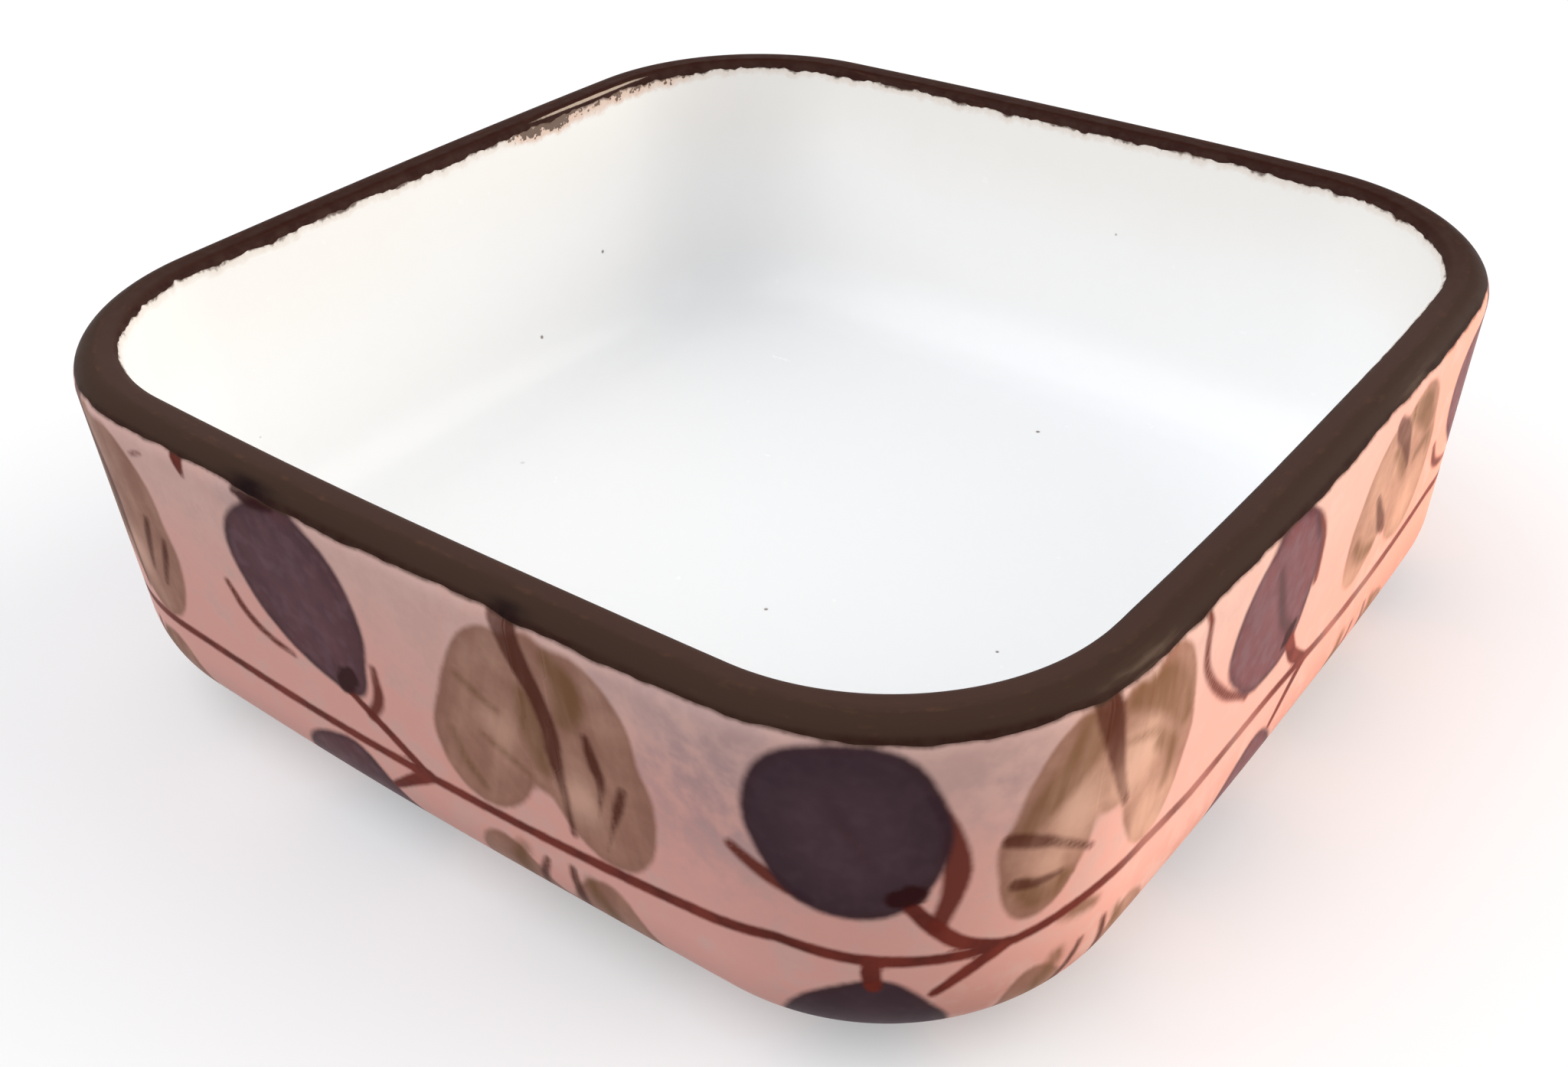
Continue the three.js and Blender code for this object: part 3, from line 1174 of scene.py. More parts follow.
@dataclass(frozen=True)
class Blob:
    """A brushed shape with a soft round outline, on the unrolled wall: a fruit or half a leaf."""

    around: float
    rise: float
    long: float
    wide: float
    lean: float
    point: float = 0.0
    egg: float = 0.0
    waver: float = 0.35
    seed: int = 1
    fullness: float = 2.0

    def fields(self, across: np.ndarray, up: np.ndarray) -> tuple[np.ndarray, np.ndarray, np.ndarray]:
        """Measures points against the outline.

        Args:
            across: Distances round the lip from the shape's centre.
            up: Heights above the shape's centre.

        Returns:
            Distances outside the outline, and places along and across the shape's axis.
        """
        angle = math.radians(self.lean)
        u = across * math.cos(angle) + up * math.sin(angle)
        w = up * math.cos(angle) - across * math.sin(angle)
        wide = self.wide * (1 + self.egg * np.clip(u / self.long, -1.2, 1.2))
        power = self.fullness
        near = (np.abs(u / self.long) ** power + np.abs(w / wide) ** power) ** (1 / power)
        gap = np.hypot(u, w) * (1 - 1 / np.maximum(near, 1e-6))
        turn = np.arctan2(w, u)
        draw = random.Random(self.seed)
        for waves in (2, 3, 4, 6):
            gap = gap - self.waver * np.sin(waves * turn + draw.uniform(0, 6.28)) / 1.6
        return gap - self.point * np.exp(-((turn / 0.3) ** 2)), u, w


@dataclass(frozen=True)
class Stroke:
    """One pull of a thin brush: points round and up the wall, each with the stroke's width there."""

    points: Path

    def path(self) -> np.ndarray:
        """Rounds the points into a smooth path.

        Returns:
            Rows of place round, height and half width.
        """
        knots = np.array(self.points, float)
        knots = np.vstack([2 * knots[0] - knots[1], knots, 2 * knots[-1] - knots[-2]])
        steps = np.linspace(0, 1, 8, endpoint=False)[:, None]
        parts = []
        for a, b, c, d in zip(knots, knots[1:], knots[2:], knots[3:]):
            bend = (2 * a - 5 * b + 4 * c - d) * steps**2 + (3 * b - a - 3 * c + d) * steps**3
            parts.append(b + 0.5 * ((c - a) * steps + bend))
        path = np.vstack([*parts, knots[-2:-1]])
        path[:, 2] /= 2
        return path


class Border:
    """The painted border: fruits and paired leaves by turns on one stem line, brushed by hand."""

    def __init__(self, hand: Hand, around: np.ndarray, rise: np.ndarray) -> None:
        """Starts with a bare wall.

        Args:
            hand: Knows the distance round the lip.
            around: Each point's distance round the lip.
            rise: Each point's height on the unrolled wall.
        """
        self.hand = hand
        self.around = around
        self.rise = rise
        self.reach = 7.0
        self.merge = 2.5
        self.fade_rise = 1.4
        self.gaps = {paint: np.full_like(around, self.reach) for paint in Paint}
        self.brush = np.zeros((len(around), 3))
        self.load, self.thin, self.blot = (np.zeros_like(around) for _ in range(3))

    def blob(self, paint: Paint, shape: Blob, load: float = 0.5) -> None:
        """Brushes a shape.

        Args:
            paint: Its paint.
            shape: Its outline.
            load: How much paint the brush held, 0 to 1.
        """
        across = self.hand.apart(self.around, shape.around)
        up = self.rise - shape.rise
        size = max(shape.long, shape.wide) + shape.point + self.reach
        near = (np.abs(across) < size) & (np.abs(up) < size)
        gap, u, w = shape.fields(across[near], up[near])
        before = self.gaps[paint][near]
        nearer = gap < before
        rows = np.flatnonzero(near)[nearer]
        share = np.clip(0.5 + 0.5 * (before - gap) / self.merge, 0, 1)
        joined = before + (gap - before) * share - self.merge * share * (1 - share)
        self.gaps[paint][near] = joined if paint is Paint.LEAF else np.minimum(before, gap)
        if paint is Paint.FRUIT:
            self.load[rows] = load
        if paint in (Paint.FRUIT, Paint.LEAF):
            self.brush[rows, 0] = u[nearer] / shape.long
            self.brush[rows, 1] = w[nearer]
            self.brush[rows, 2] = shape.seed * 1.7

    def strokes(self, paint: Paint, around: float, rise: float, *paths: Path) -> None:
        """Pulls strokes whose points are given from a centre.

        Args:
            paint: Their paint.
            around: The centre's distance round the lip.
            rise: The centre's height.
            *paths: The strokes' points; an empty path is left out.
        """
        for path in filter(None, paths):
            self.stroke(paint, *((around + x, rise + y, width) for x, y, width in path))

    def stroke(self, paint: Paint, *points: Triple) -> None:
        """Pulls a thin brush along points.

        Args:
            paint: Its paint.
            *points: Place round, height and width at each point.
        """
        path = Stroke(points).path()
        middle = (path[:, 0].min() + path[:, 0].max()) / 2
        path[:, 0] -= middle
        across = self.hand.apart(self.around, middle)
        low, high = path.min(0) - self.reach, path.max(0) + self.reach
        near = (across > low[0]) & (across < high[0]) & (self.rise > low[1]) & (self.rise < high[1])
        x, y = across[near], self.rise[near]
        best = self.gaps[paint][near]
        for (ax, ay, ar), (bx, by, br) in zip(path, path[1:]):
            span = max((bx - ax) ** 2 + (by - ay) ** 2, 1e-9)
            share = np.clip(((x - ax) * (bx - ax) + (y - ay) * (by - ay)) / span, 0, 1)
            gap = np.hypot(x - ax - share * (bx - ax), y - ay - share * (by - ay)) - ar - share * (br - ar)
            best = np.minimum(best, gap)
        self.gaps[paint][near] = best

    def grey_patch(self, around: float, rise: float, reach: float, strength: float) -> None:
        """Greys the ground softly round a place."""
        far = np.hypot(self.hand.apart(self.around, around), self.rise - rise) / reach
        self.blot = np.maximum(self.blot, strength * np.exp(-(far**2)))

    def fade(self, around: float, rise: float, reach: float, strength: float) -> None:
        """Thins the leaf and stem paint round a place."""
        far = np.hypot(self.hand.apart(self.around, around), (self.rise - rise) / self.fade_rise) / reach
        self.thin = np.maximum(self.thin, strength * np.exp(-(far**2)))


@dataclass(frozen=True)
class FruitSprig:
    """A fruit above the stem line, its twin below it, and the strokes that tie both to the line.

    Strokes are given from the fruit's centre, and the last point of the stem lies on the line.
    """

    around: float
    rise: float = 50.0
    long: float = 15.0
    wide: float = 13.3
    lean: float = -58.0
    point: float = 2.4
    egg: float = -0.1
    fullness: float = 2.1
    spot: Spot = (7.1, -13.8, 3.6, 2.1)
    tip: float = 58.0
    stem: Path = ((6.8, -16, 1.6), (13.4, -20.2, 2.0), (21.5, -25.6, 2.2))
    join_width: float = 2.0
    husk: Path = ()
    strokes: tuple[Path, ...] = (
        ((-18.8, -6.6, 1.3), (-15.8, -11.2, 1.8), (-11.4, -13.8, 1.6), (-5.6, -15.0, 0.9)),
        ((14.4, -8.2, 1.2), (13.9, -14.2, 2.0), (10.9, -19.2, 1.8)),
    )
    crease: Path = ()
    twin: Lobe = (2.0, 7.2, 14.6, 13.4, 80)
    twin_stem: Path = ((0.5, 0, 2.4), (-4, -3.2, 2.1), (-9.5, -7.5, 1.4))
    load: float = 0.5
    seed: int = 1

    def brush_on(self, border: Border, line: Callable[[float], float]) -> None:
        """Brushes the sprig.

        Args:
            border: The border that it joins.
            line: Height of the stem line at a place round the lip.
        """
        s, h = self.around, self.rise
        outline = (self.long, self.wide, self.lean, self.point, self.egg)
        shape = Blob(s, h, *outline, waver=0.28, seed=self.seed, fullness=self.fullness)
        border.blob(Paint.FRUIT, shape, self.load)
        x, *low = self.twin
        shape = Blob(s + x, *low, point=0.6, waver=0.3, seed=self.seed + 40)
        border.blob(Paint.FRUIT, shape, self.load)
        end = self.stem[-1][0]
        level = line(s + end)
        border.strokes(Paint.STEM, s, h, (*self.stem[:-1], (end, level - h, self.join_width)))
        border.strokes(Paint.STEM, s + end, level, self.twin_stem)
        x, y, long, wide = self.spot
        shape = Blob(s + x, h + y, long, wide, self.tip, point=0.3, waver=0.2, seed=self.seed + 9)
        border.blob(Paint.CALYX, shape)
        border.strokes(Paint.LINE, s, h, self.crease)
        border.strokes(Paint.HUSK, s, h, self.husk, *self.strokes)


@dataclass(frozen=True)
class LeafSprig:
    """A pair of leaves that hangs from the band above the stem line, and its twin below the line.

    Lobes, strokes and fades are given from the middle of the pair, and the twin's strokes from its top.
    """

    around: float
    rise: float = 46.0
    left: Lobe = (-9.0, -1.8, 18.6, 9.6, 70)
    right: Lobe = (9.6, -0.8, 18.2, 10.0, 97)
    web: Lobe = (0.8, 3.6, 14.6, 6.4, 86)
    eggs: Pair = (0.1, 0.05)
    rib: Path = (
        (-2.8, 18.8, 5.0),
        (-1.2, 13.2, 4.2),
        (1.6, 7, 3.2),
        (2.9, 2, 3.0),
        (3.0, -3, 2.8),
        (3.6, -9, 1.4),
        (4.2, -17, 1.0),
    )
    veins: tuple[Path, ...] = (
        ((9.6, 4.0, 1.2), (10.4, -0.6, 2.2), (11.0, -4, 1.2), (9.8, -11, -0.3)),
        ((15, -2.8, 1.2), (13.6, -7, 1.4), (11.6, -13, 0.1), (10.4, -17, -0.5)),
    )
    shades: tuple[Path, ...] = (
        ((-1, 6, 3.5), (-0.4, 0, 4.5), (0.4, -6, 3.0)),
        ((5, 15, 3.0), (7.6, 11, 5.0), (6.4, 5, 3.0)),
        ((-17.4, -8, 0.6), (-16, -13, 1.2), (-12.6, -17, 0.6)),
        ((-13.8, 3.8, 0.5), (-10.6, 2.2, 0.8), (-7, 0.6, 0.3)),
        ((-10.8, -5.8, 0.4), (-6.6, -7.4, 0.6), (-2.6, -9.1, 0.3)),
    )
    fades: tuple[Spot, ...] = ((-8, -3, 4.0, 0.3), (6.6, -9, 3.4, 0.6))
    twin: float = 7.0
    twin_top: float = 20.0
    twin_shades: tuple[Path, ...] = (
        ((-7, 0, 2.0), (-9, -5, 3.0), (-9, -10, 2.0)),
        ((6, 0, 2.0), (8, -6, 3.0), (8, -12, 2.0)),
    )
    twin_veins: tuple[Path, ...] = (
        ((-2.4, 0, 1.0), (-4.4, -5, 1.4), (-6, -11, 1.0)),
        ((2.6, 1, 1.2), (2.8, -5, 1.8), (2, -12, 1.2)),
    )
    seed: int = 1

    def brush_on(self, border: Border) -> None:
        """Brushes the sprig.

        Args:
            border: The border that it joins.
        """
        s, h = self.around, self.rise
        for offset, (x, y, long, wide, lean) in enumerate((self.left, self.right)):
            shape = (s + x, h + y, long, wide, lean + 180, 0.8, self.eggs[offset])
            border.blob(Paint.LEAF, Blob(*shape, waver=0.3, seed=self.seed + offset, fullness=2.2))
            low = (s + x * 0.85, self.twin + y, 0.84 * long, 0.88 * wide, -lean, 0.6)
            border.blob(Paint.LEAF, Blob(*low, waver=0.3, seed=self.seed + 60 + offset))
        x, y, long, wide, lean = self.web
        border.blob(Paint.LEAF, Blob(s + x, h + y, long, wide, lean + 180, waver=0.2, seed=self.seed + 2))
        border.strokes(Paint.SHADE, s, h, *self.shades)
        border.strokes(Paint.VEIN, s, h, self.rib, *self.veins)
        border.strokes(Paint.SHADE, s, self.twin_top, *self.twin_shades)
        border.strokes(Paint.VEIN, s, self.twin_top, *self.twin_veins)
        for x, y, *thinning in self.fades:
            border.fade(s + x, h + y, *thinning)


@dataclass(frozen=True)
class BorderLayout:
    """Where the painter put the sprigs, the stem line and a few stray dabs."""

    fruits: tuple[FruitSprig, ...] = (
        FruitSprig(
            -18.7,
            rise=49.8,
            long=15.2,
            wide=13.6,
            lean=-58,
            point=3.4,
            egg=-0.12,
            fullness=2.3,
            crease=((-10.6, 13.8, 0.8), (-6.6, 13.6, 2.4), (-1.6, 14.2, 1.0)),
            load=0.6,
            seed=3,
        ),
        FruitSprig(
            77.2,
            rise=49.4,
            long=15.4,
            wide=13.3,
            lean=-75,
            point=0.5,
            spot=(7.8, -10.6, 3.0, 2.0),
            tip=14.0,
            stem=((8.4, -12.6, 2.2), (11.4, -16.4, 2.6), (15.4, -20.2, 2.4), (21.5, -22.8, 2.2)),
            husk=((10.4, 7, 1.0), (13.0, 0.6, 2.6), (14.2, -6, 3.6), (13.6, -11.4, 3.0), (12, -16.4, 2.4)),
            strokes=(((-15.8, -6.2, 1.8), (-12.4, -8.6, 2.4), (-8.6, -10.6, 2.4), (-5, -12.4, 1.2)),),
            crease=((-2.4, 7, 0.6), (0, 1, 1.4), (3.4, -5.6, 0.6)),
            load=1.15,
            seed=5,
        ),
        FruitSprig(
            159.4,
            rise=50.3,
            long=15.2,
            wide=14.0,
            lean=-58,
            point=1.0,
            spot=(8.2, -10.2, 2.4, 1.8),
            tip=48.0,
            stem=((8.0, -9.8, 2.6), (10, -13, 2.8), (13.4, -17.6, 2.6), (19.6, -23.4, 2.2)),
            husk=((2.4, 14.4, 1.8), (8.8, 10.2, 2.8), (13, 4, 2.6), (14.8, -4, 1.4)),
            strokes=(((-25.6, 14.2, 1.4), (-23.6, 4.4, 1.4), (-15.4, -5.8, 1.5), (-4.6, -13.6, 1.3)),),
            crease=((-2.4, 7.6, 1.0), (0.6, 1.6, 1.8), (3.4, -4.4, 1.8), (7.4, -8.6, 2.0)),
            load=0.1,
            seed=7,
        ),
    )
    leaves: tuple[LeafSprig, ...] = (
        LeafSprig(
            -71.4,
            veins=(
                ((14, 1, 1.2), (12.6, -3, 1.6), (10.6, -10, 0.7)),
                ((17.4, -2, 1.0), (16, -6, 1.4), (13.6, -12, 0.8)),
            ),
            shades=(((-1, 6, 3.5), (-0.4, 0, 4.5), (0.4, -6, 3.0)),),
            seed=11,
        ),
        LeafSprig(28.6, rise=45.9, seed=13),
        LeafSprig(
            115.6,
            rise=48.2,
            left=(-10.3, -0.7, 16.6, 7.2, 79),
            right=(10.0, 0.0, 16.6, 8.6, 95),
            web=(0.0, 5.6, 10.4, 5.8, 90),
            rib=((-5, 16.6, 4.4), (-3.4, 11.8, 4.0), (-1.6, 6, 2.8), (0.4, 0, 1.9), (2.4, -4.8, 1.2)),
            veins=(
                ((-17.2, -1.8, 2.4), (-13.6, -3.2, 2.2), (-9.6, -5.2, 1.4), (-3.6, -9.2, 0.9)),
                ((-15.8, -10.4, 2.0), (-12.6, -11.2, 1.5), (-9, -11, 0.8)),
            ),
            shades=(
                ((-5.6, 13, 7.0), (-8.6, 7.6, 6.0), (-12.4, 3, 4.6), (-15, -1, 3.0)),
                ((1, 14, 4.0), (7, 11.8, 7.0), (12.4, 7, 6.0), (16, 1, 3.4)),
                ((-15, -11.4, 3.4), (-11.6, -14.2, 4.0), (-8, -12, 2.0)),
                ((9, 1.5, 2.0), (13.6, -3, 3.0), (13.4, -9, 1.6)),
                ((0.8, 6.6, 0.3), (6.6, 4.4, 0.8), (11.6, 0.6, 0.8)),
                ((-7, -20.4, 1.6), (-3.6, -20.8, 3.0), (-0.6, -21.8, 1.6)),
            ),
            fades=((-6.6, -1.8, 5.0, 0.6), (-11, -8, 3.6, 0.4), (3.6, 1, 5.4, 0.75), (9, -12, 5.0, 0.5)),
            seed=17,
        ),
        LeafSprig(
            205.8,
            rise=48.0,
            left=(-8.3, -1.0, 14.2, 8.2, 82),
            right=(7.7, -0.5, 16.4, 9.4, 104),
            web=(-0.4, 5.0, 8.0, 6.0, 90),
            rib=((-6.6, 13.6, 2.4), (-4, 11, 4.2), (-1, 8.4, 4.0), (2.4, 4, 2.4), (5, 0, 1.0)),
            veins=(((-7.6, 0, 1.2), (-4.6, -4.2, 2.2), (-1.8, -8, 2.8), (0.4, -10.4, 1.4)),),
            shades=(
                ((-4, 7, 2.0), (0, 4.6, 3.6), (4, -1, 2.2)),
                ((9, 0, 2.0), (14, 1, 2.4), (16, -2, 1.4)),
                ((-13.4, -6, 2.0), (-9, -10, 3.0), (-4, -11.2, 1.8)),
                ((1, 12, 4.0), (7, 10, 6.0), (12, 5, 4.0)),
            ),
            fades=((-4, 4, 14.0, 0.3), (-8, 0, 5.0, 0.3), (10, -10, 6.0, 0.5)),
            seed=19,
        ),
    )
    line: tuple[Pair, ...] = (
        (-62, 25.6),
        (-20, 24.0),
        (20, 24.3),
        (48, 26.0),
        (67, 28.3),
        (82, 26.4),
        (100, 27.0),
        (117, 29.6),
        (140, 28.2),
        (166, 29.0),
        (190, 27.6),
        (212, 28.3),
        (234, 30.2),
        (276, 28.6),
        (320, 26.4),
        (365, 27.8),
        (410, 25.4),
        (455, 27.6),
        (500, 26.0),
        (545, 27.2),
        (600, 25.4),
        (656.2, 25.6),
    )
    line_width: float = 1.95
    line_part: int = 4
    dabs: tuple[tuple[Paint, Path], ...] = (
        (Paint.STEM, ((80.6, 26.2, 2.4), (80.4, 24, 2.8), (80.8, 21.4, 2.4))),
        (Paint.STEM, ((-42.4, 65, 3.0), (-41.6, 63.4, 2.2), (-41.2, 61.8, 0.8))),
        (Paint.HUSK, ((-55.8, 60.2, 0.2), (-54, 61.0, 0.6), (-52, 61.8, 0.1))),
        (Paint.CALYX, ((-28.4, 64.4, 1.6), (-24.4, 63.8, 2.6), (-19.6, 64.4, 1.4))),
    )
    # The stem line is lightened along the +X face: partly thinner paint, partly painted light where the
    # strong light from the right falls.
    line_fades_and_light: tuple[float, ...] = (129, 142, 156, 190, 204)
    line_fade_and_light: Triple = (29.5, 7.0, 0.55)
    # Soft grey patches; the two broad ones darken the ground round the front corner.
    grey_patches: tuple[Spot, ...] = (
        (53.8, 57.0, 3.4, 0.55),
        (43, 61.0, 4.5, 0.25),
        (60, 52.0, 17, 0.56),
        (97, 56.0, 9, 0.4),
        (-30, 62.0, 3.0, 0.3),
    )
    unseen: int = 5
    seed: int = 31

    def hidden(self, girth: float) -> tuple[list[FruitSprig], list[LeafSprig]]:
        """Carries the rhythm round the sides that the photo doesn't show.

        Args:
            girth: Length once round the lip.

        Returns:
            The further fruits and leaves.
        """
        draw = random.Random(self.seed)
        first = self.leaves[-1].around
        pitch = (girth + self.leaves[0].around - first) / self.unseen
        fruits, leaves = [], []
        for turn in range(self.unseen):
            model = self.fruits[turn % len(self.fruits)]
            place = first + (turn + 0.5) * pitch + draw.uniform(-3, 3)
            changes = {
                "around": place,
                "rise": 50 + draw.uniform(-0.8, 0.8),
                "long": model.long + draw.uniform(-0.5, 0.5),
                "wide": model.wide + draw.uniform(-0.4, 0.4),
                "load": draw.uniform(0.1, 0.9),
                "seed": 51 + 2 * turn,
            }
            fruits.append(replace(model, **changes))
        for turn in range(self.unseen - 1):
            model = self.leaves[1 + turn % 2]
            place = first + (turn + 1) * pitch + draw.uniform(-3, 3)
            tilt = draw.uniform(-4, 4)
            changes = {
                "around": place,
                "rise": model.rise + draw.uniform(-0.8, 0.8),
                "left": (*model.left[:4], model.left[4] + tilt),
                "right": (*model.right[:4], model.right[4] + tilt),
                "seed": 71 + 2 * turn,
            }
            leaves.append(replace(model, **changes))
        return fruits, leaves

    def level(self, around: float, girth: float) -> float:
        """Height of the stem line at a place round the lip."""
        start = self.line[0][0]
        place = (around - start) % girth + start
        return float(np.interp(place, [p[0] for p in self.line], [p[1] for p in self.line]))

    def brush_on(self, border: Border, girth: float) -> None:
        """Brushes the whole border.

        Args:
            border: The bare wall.
            girth: Length once round the lip.
        """
        fruits, leaves = self.hidden(girth)
        draw = random.Random(self.seed + 1)
        knots = [(place, rise, self.line_width + draw.uniform(-0.25, 0.25)) for place, rise in self.line]
        for start in range(0, len(knots) - 1, self.line_part):
            border.stroke(Paint.STEM, *knots[start : start + self.line_part + 1])
        for sprig in (*self.leaves, *leaves):
            sprig.brush_on(border)
        for fruit in (*self.fruits, *fruits):
            fruit.brush_on(border, lambda place: self.level(place, girth))
        for paint, path in self.dabs:
            border.stroke(paint, *path)
        # Lightens the stem line on the +X face: thinner paint, and painted light.
        for place in self.line_fades_and_light:
            border.fade(place, *self.line_fade_and_light)
        for spot in self.grey_patches:
            border.grey_patch(*spot)


@dataclass
class Dish:
    """The whole dish: its clay, its foot and its coats, all on one plan, section and hand."""

    plan: Plan = field(default_factory=Plan)
    section: Section = field(default_factory=Section)
    hand: Hand = field(default_factory=Hand)
    side_cells: int = 140
    corner_cells: int = 80
    coarse_share: int = 4
    middle: tuple[float, ...] = (40.0, 60.0, 80.0, 97.0)
    band_outside: float = 5.06
    band_inside: float = 2.42
    outside_blend: float = 9.0
    inside_blend: float = 8.0
    unrolled_middle: float = 297.2
    worn_edge: Path = ((1.0, 507, 12), (0.75, 482, 16), (0.4, 463, 9))
    worn_runs: Pair = (3.5, 2.6)
    rubbed_line: Path = ((1.0, 492, 21),)
    rubbed_runs: Pair = (1.55, 0.4)
    dab_runs: Pair = (1.4, 3.0)
    dark_dabs: Path = ((1.0, -25, 4.6), (0.8, 26.2, 3.0))
    olive_dabs: Path = ((1.0, 118, 8), (0.5, 206, 7))

    def fine(self) -> np.ndarray:
        """Points round the lip for the coats."""
        return self.plan.stations(self.side_cells, self.corner_cells)

    def coarse(self) -> np.ndarray:
        """Points round the lip for the hidden clay."""
        share = self.coarse_share
        return self.plan.stations(self.side_cells // share, self.corner_cells // share)

    def keep(
        self, piece: bpy.types.Object, node: str, finish: bpy.types.Material
    ) -> bpy.types.Object:
        """Dresses a finished piece and ties it to the frame.

        Args:
            piece: The modelled mesh.
            node: CAD node that it stands for.
            finish: Its material.

        Returns:
            The piece.
        """
        settle(piece, self.hand.pull(places_of(piece)))
        piece.data.materials.clear()
        piece.data.materials.append(finish)
        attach(piece, BODY)
        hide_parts(node)
        LOG.info("%s: %d faces, for %s", piece.name, len(piece.data.polygons), node)
        return piece

    def clay(self, finish: bpy.types.Material) -> bpy.types.Object:
        """Models the fired body that the coats cover.

        Args:
            finish: Its material.

        Returns:
            The piece.
        """
        cut = self.section
        depth = cut.glaze + cut.seat
        model = RingModel("body_clay", self.plan, self.coarse())
        lip = np.linspace(0, cut.outer.start, 7)
        runs = np.concatenate([lip, np.linspace(12, 49, 7), np.linspace(51, 81, 14)])
        model.skin(*cut.outer.place(runs, depth), Facing.DOWN)
        model.middle(self.middle, cut.underside + depth)
        lip = np.linspace(0, cut.inner.start, 5)
        runs = np.concatenate([lip, np.linspace(8, 44, 7), np.linspace(46, 66, 12)])
        model.skin(*cut.inner.place(runs, depth), Facing.UP)
        model.middle(self.middle, cut.floor - depth)
        model.bridge(lambda point: point.z > cut.height - 2)
        return self.keep(model.finish(), "clay_body", finish)

    def foot(self, finish: bpy.types.Material) -> bpy.types.Object:
        """Models the bare ring that the dish stands on.

        Args:
            finish: Its material.

        Returns:
            The piece.
        """
        cut = self.section
        edge = cut.foot_round
        outside, inside = cut.foot_inset, cut.foot_inset + cut.foot_width
        top = cut.underside + cut.glaze
        turn = np.linspace(0, math.pi / 2, 7)
        model = RingModel("foot_bare", self.plan, self.fine())
        model.start(outside, top, Facing.DOWN)
        model.rings(outside + edge * (1 - np.cos(turn)), edge * (1 - np.sin(turn)))
        model.rings(np.linspace(outside + edge, inside - edge, 5)[1:], np.zeros(4))
        model.rings(inside - edge * (1 - np.sin(turn[1:])), edge * (1 - np.cos(turn[1:])))
        model.ring(inside, top)
        model.open_end()
        model.bridge(lambda point: point.z > top - 0.2)
        return self.keep(model.finish(), "foot_ring", finish)

    def base(self, finish: bpy.types.Material) -> bpy.types.Object:
        """Models the thin coat inside the foot ring.

        Args:
            finish: Its material.

        Returns:
            The piece.
        """
        cut = self.section
        start = cut.foot_inset + cut.foot_width + cut.seam
        model = RingModel("base_wash", self.plan, self.coarse())
        model.start(start, cut.underside + cut.glaze, Facing.DOWN)
        model.rings(np.array([start + 0.02, start + 0.2]), np.array([cut.underside + 0.18, cut.underside]))
        model.middle(np.linspace(start + 4, 97, 8), cut.underside)
        model.fill()
        return self.keep(model.finish(), "base_glaze", finish)

    def liner(self, finish: bpy.types.Material) -> bpy.types.Object:
        """Models the white coat of the well, up to the band's wavering edge.

        Args:
            finish: Its material.

        Returns:
            The piece.
        """
        cut, face = self.section, self.section.inner
        model = RingModel("liner_white", self.plan, self.fine())
        spread = (27.0, 30.0, 34.0, 38.0, 42.0, 48.0, 56.0, 64.0, 72.0, 80.0, 88.0, 94.0, 98.0)
        upper = np.linspace(self.band_inside, self.band_inside + 7, 12)
        wall_end = face.start + face.wall
        wall = np.linspace(11.5, wall_end, 14)
        lower = np.linspace(wall_end + 1, face.flat, 20)
        model.skin(*face.place(np.concatenate([upper, wall, lower]), 0.0), Facing.UP)
        model.middle(spread, cut.floor)
        lower = np.linspace(48, face.flat, 7)
        under = np.concatenate([[self.band_inside, 3.4], np.linspace(8, 44, 4), lower])
        model.skin(*face.place(under, cut.glaze), Facing.UP)
        model.middle(spread[::4], cut.floor - cut.glaze)
        model.bridge(lambda point: point.z > cut.height - 5)
        piece = model.finish()
        places = places_of(piece)
        around, inset = self.plan.locate(places[:, 0], places[:, 1])
        run, depth = face.locate(np.where(np.isfinite(inset), inset, self.middle[0]), places[:, 2])
        edge = self.hand.inside_edge(around)
        still = self.band_inside + self.inside_blend
        top = np.isfinite(inset) & (run < still)
        moved = run + (edge - self.band_inside) * (1 - ease(run, self.band_inside, still))
        insets, places[top, 2] = face.place(moved[top], depth[top])
        places[top, :2] = self.plan.place(around[top], insets)
        note(piece, "edge", np.where(top, moved - edge, 9.0))
        note(piece, "wear", self.wear(around, np.where(top, moved, 30.0)))
        settle(piece, places)
        return self.keep(piece, "liner_glaze", finish)

    def wear(self, around: np.ndarray, run: np.ndarray) -> np.ndarray:
        """How scuffed the rim is: most on the inner edge near the back corner.

        Args:
            around: Distances round the lip.
            run: Runs down the inner face, negative over the crest.

        Returns:
            Values of 0 to about 1.
        """
        middle, reach = self.worn_runs
        return self.hand.humps(around, self.worn_edge) * np.exp(-(((run - middle) / reach) ** 2))

    def scuff(self, around: np.ndarray, run: np.ndarray) -> np.ndarray:
        """Where the band is rubbed through in a line along its inner side.

        Args:
            around: Distances round the lip.
            run: Runs down the inner face, negative over the crest.

        Returns:
            Values of 0 to 1.
        """
        middle, reach = self.rubbed_runs
        return self.hand.humps(around, self.rubbed_line) * np.exp(-(((run - middle) / reach) ** 2))

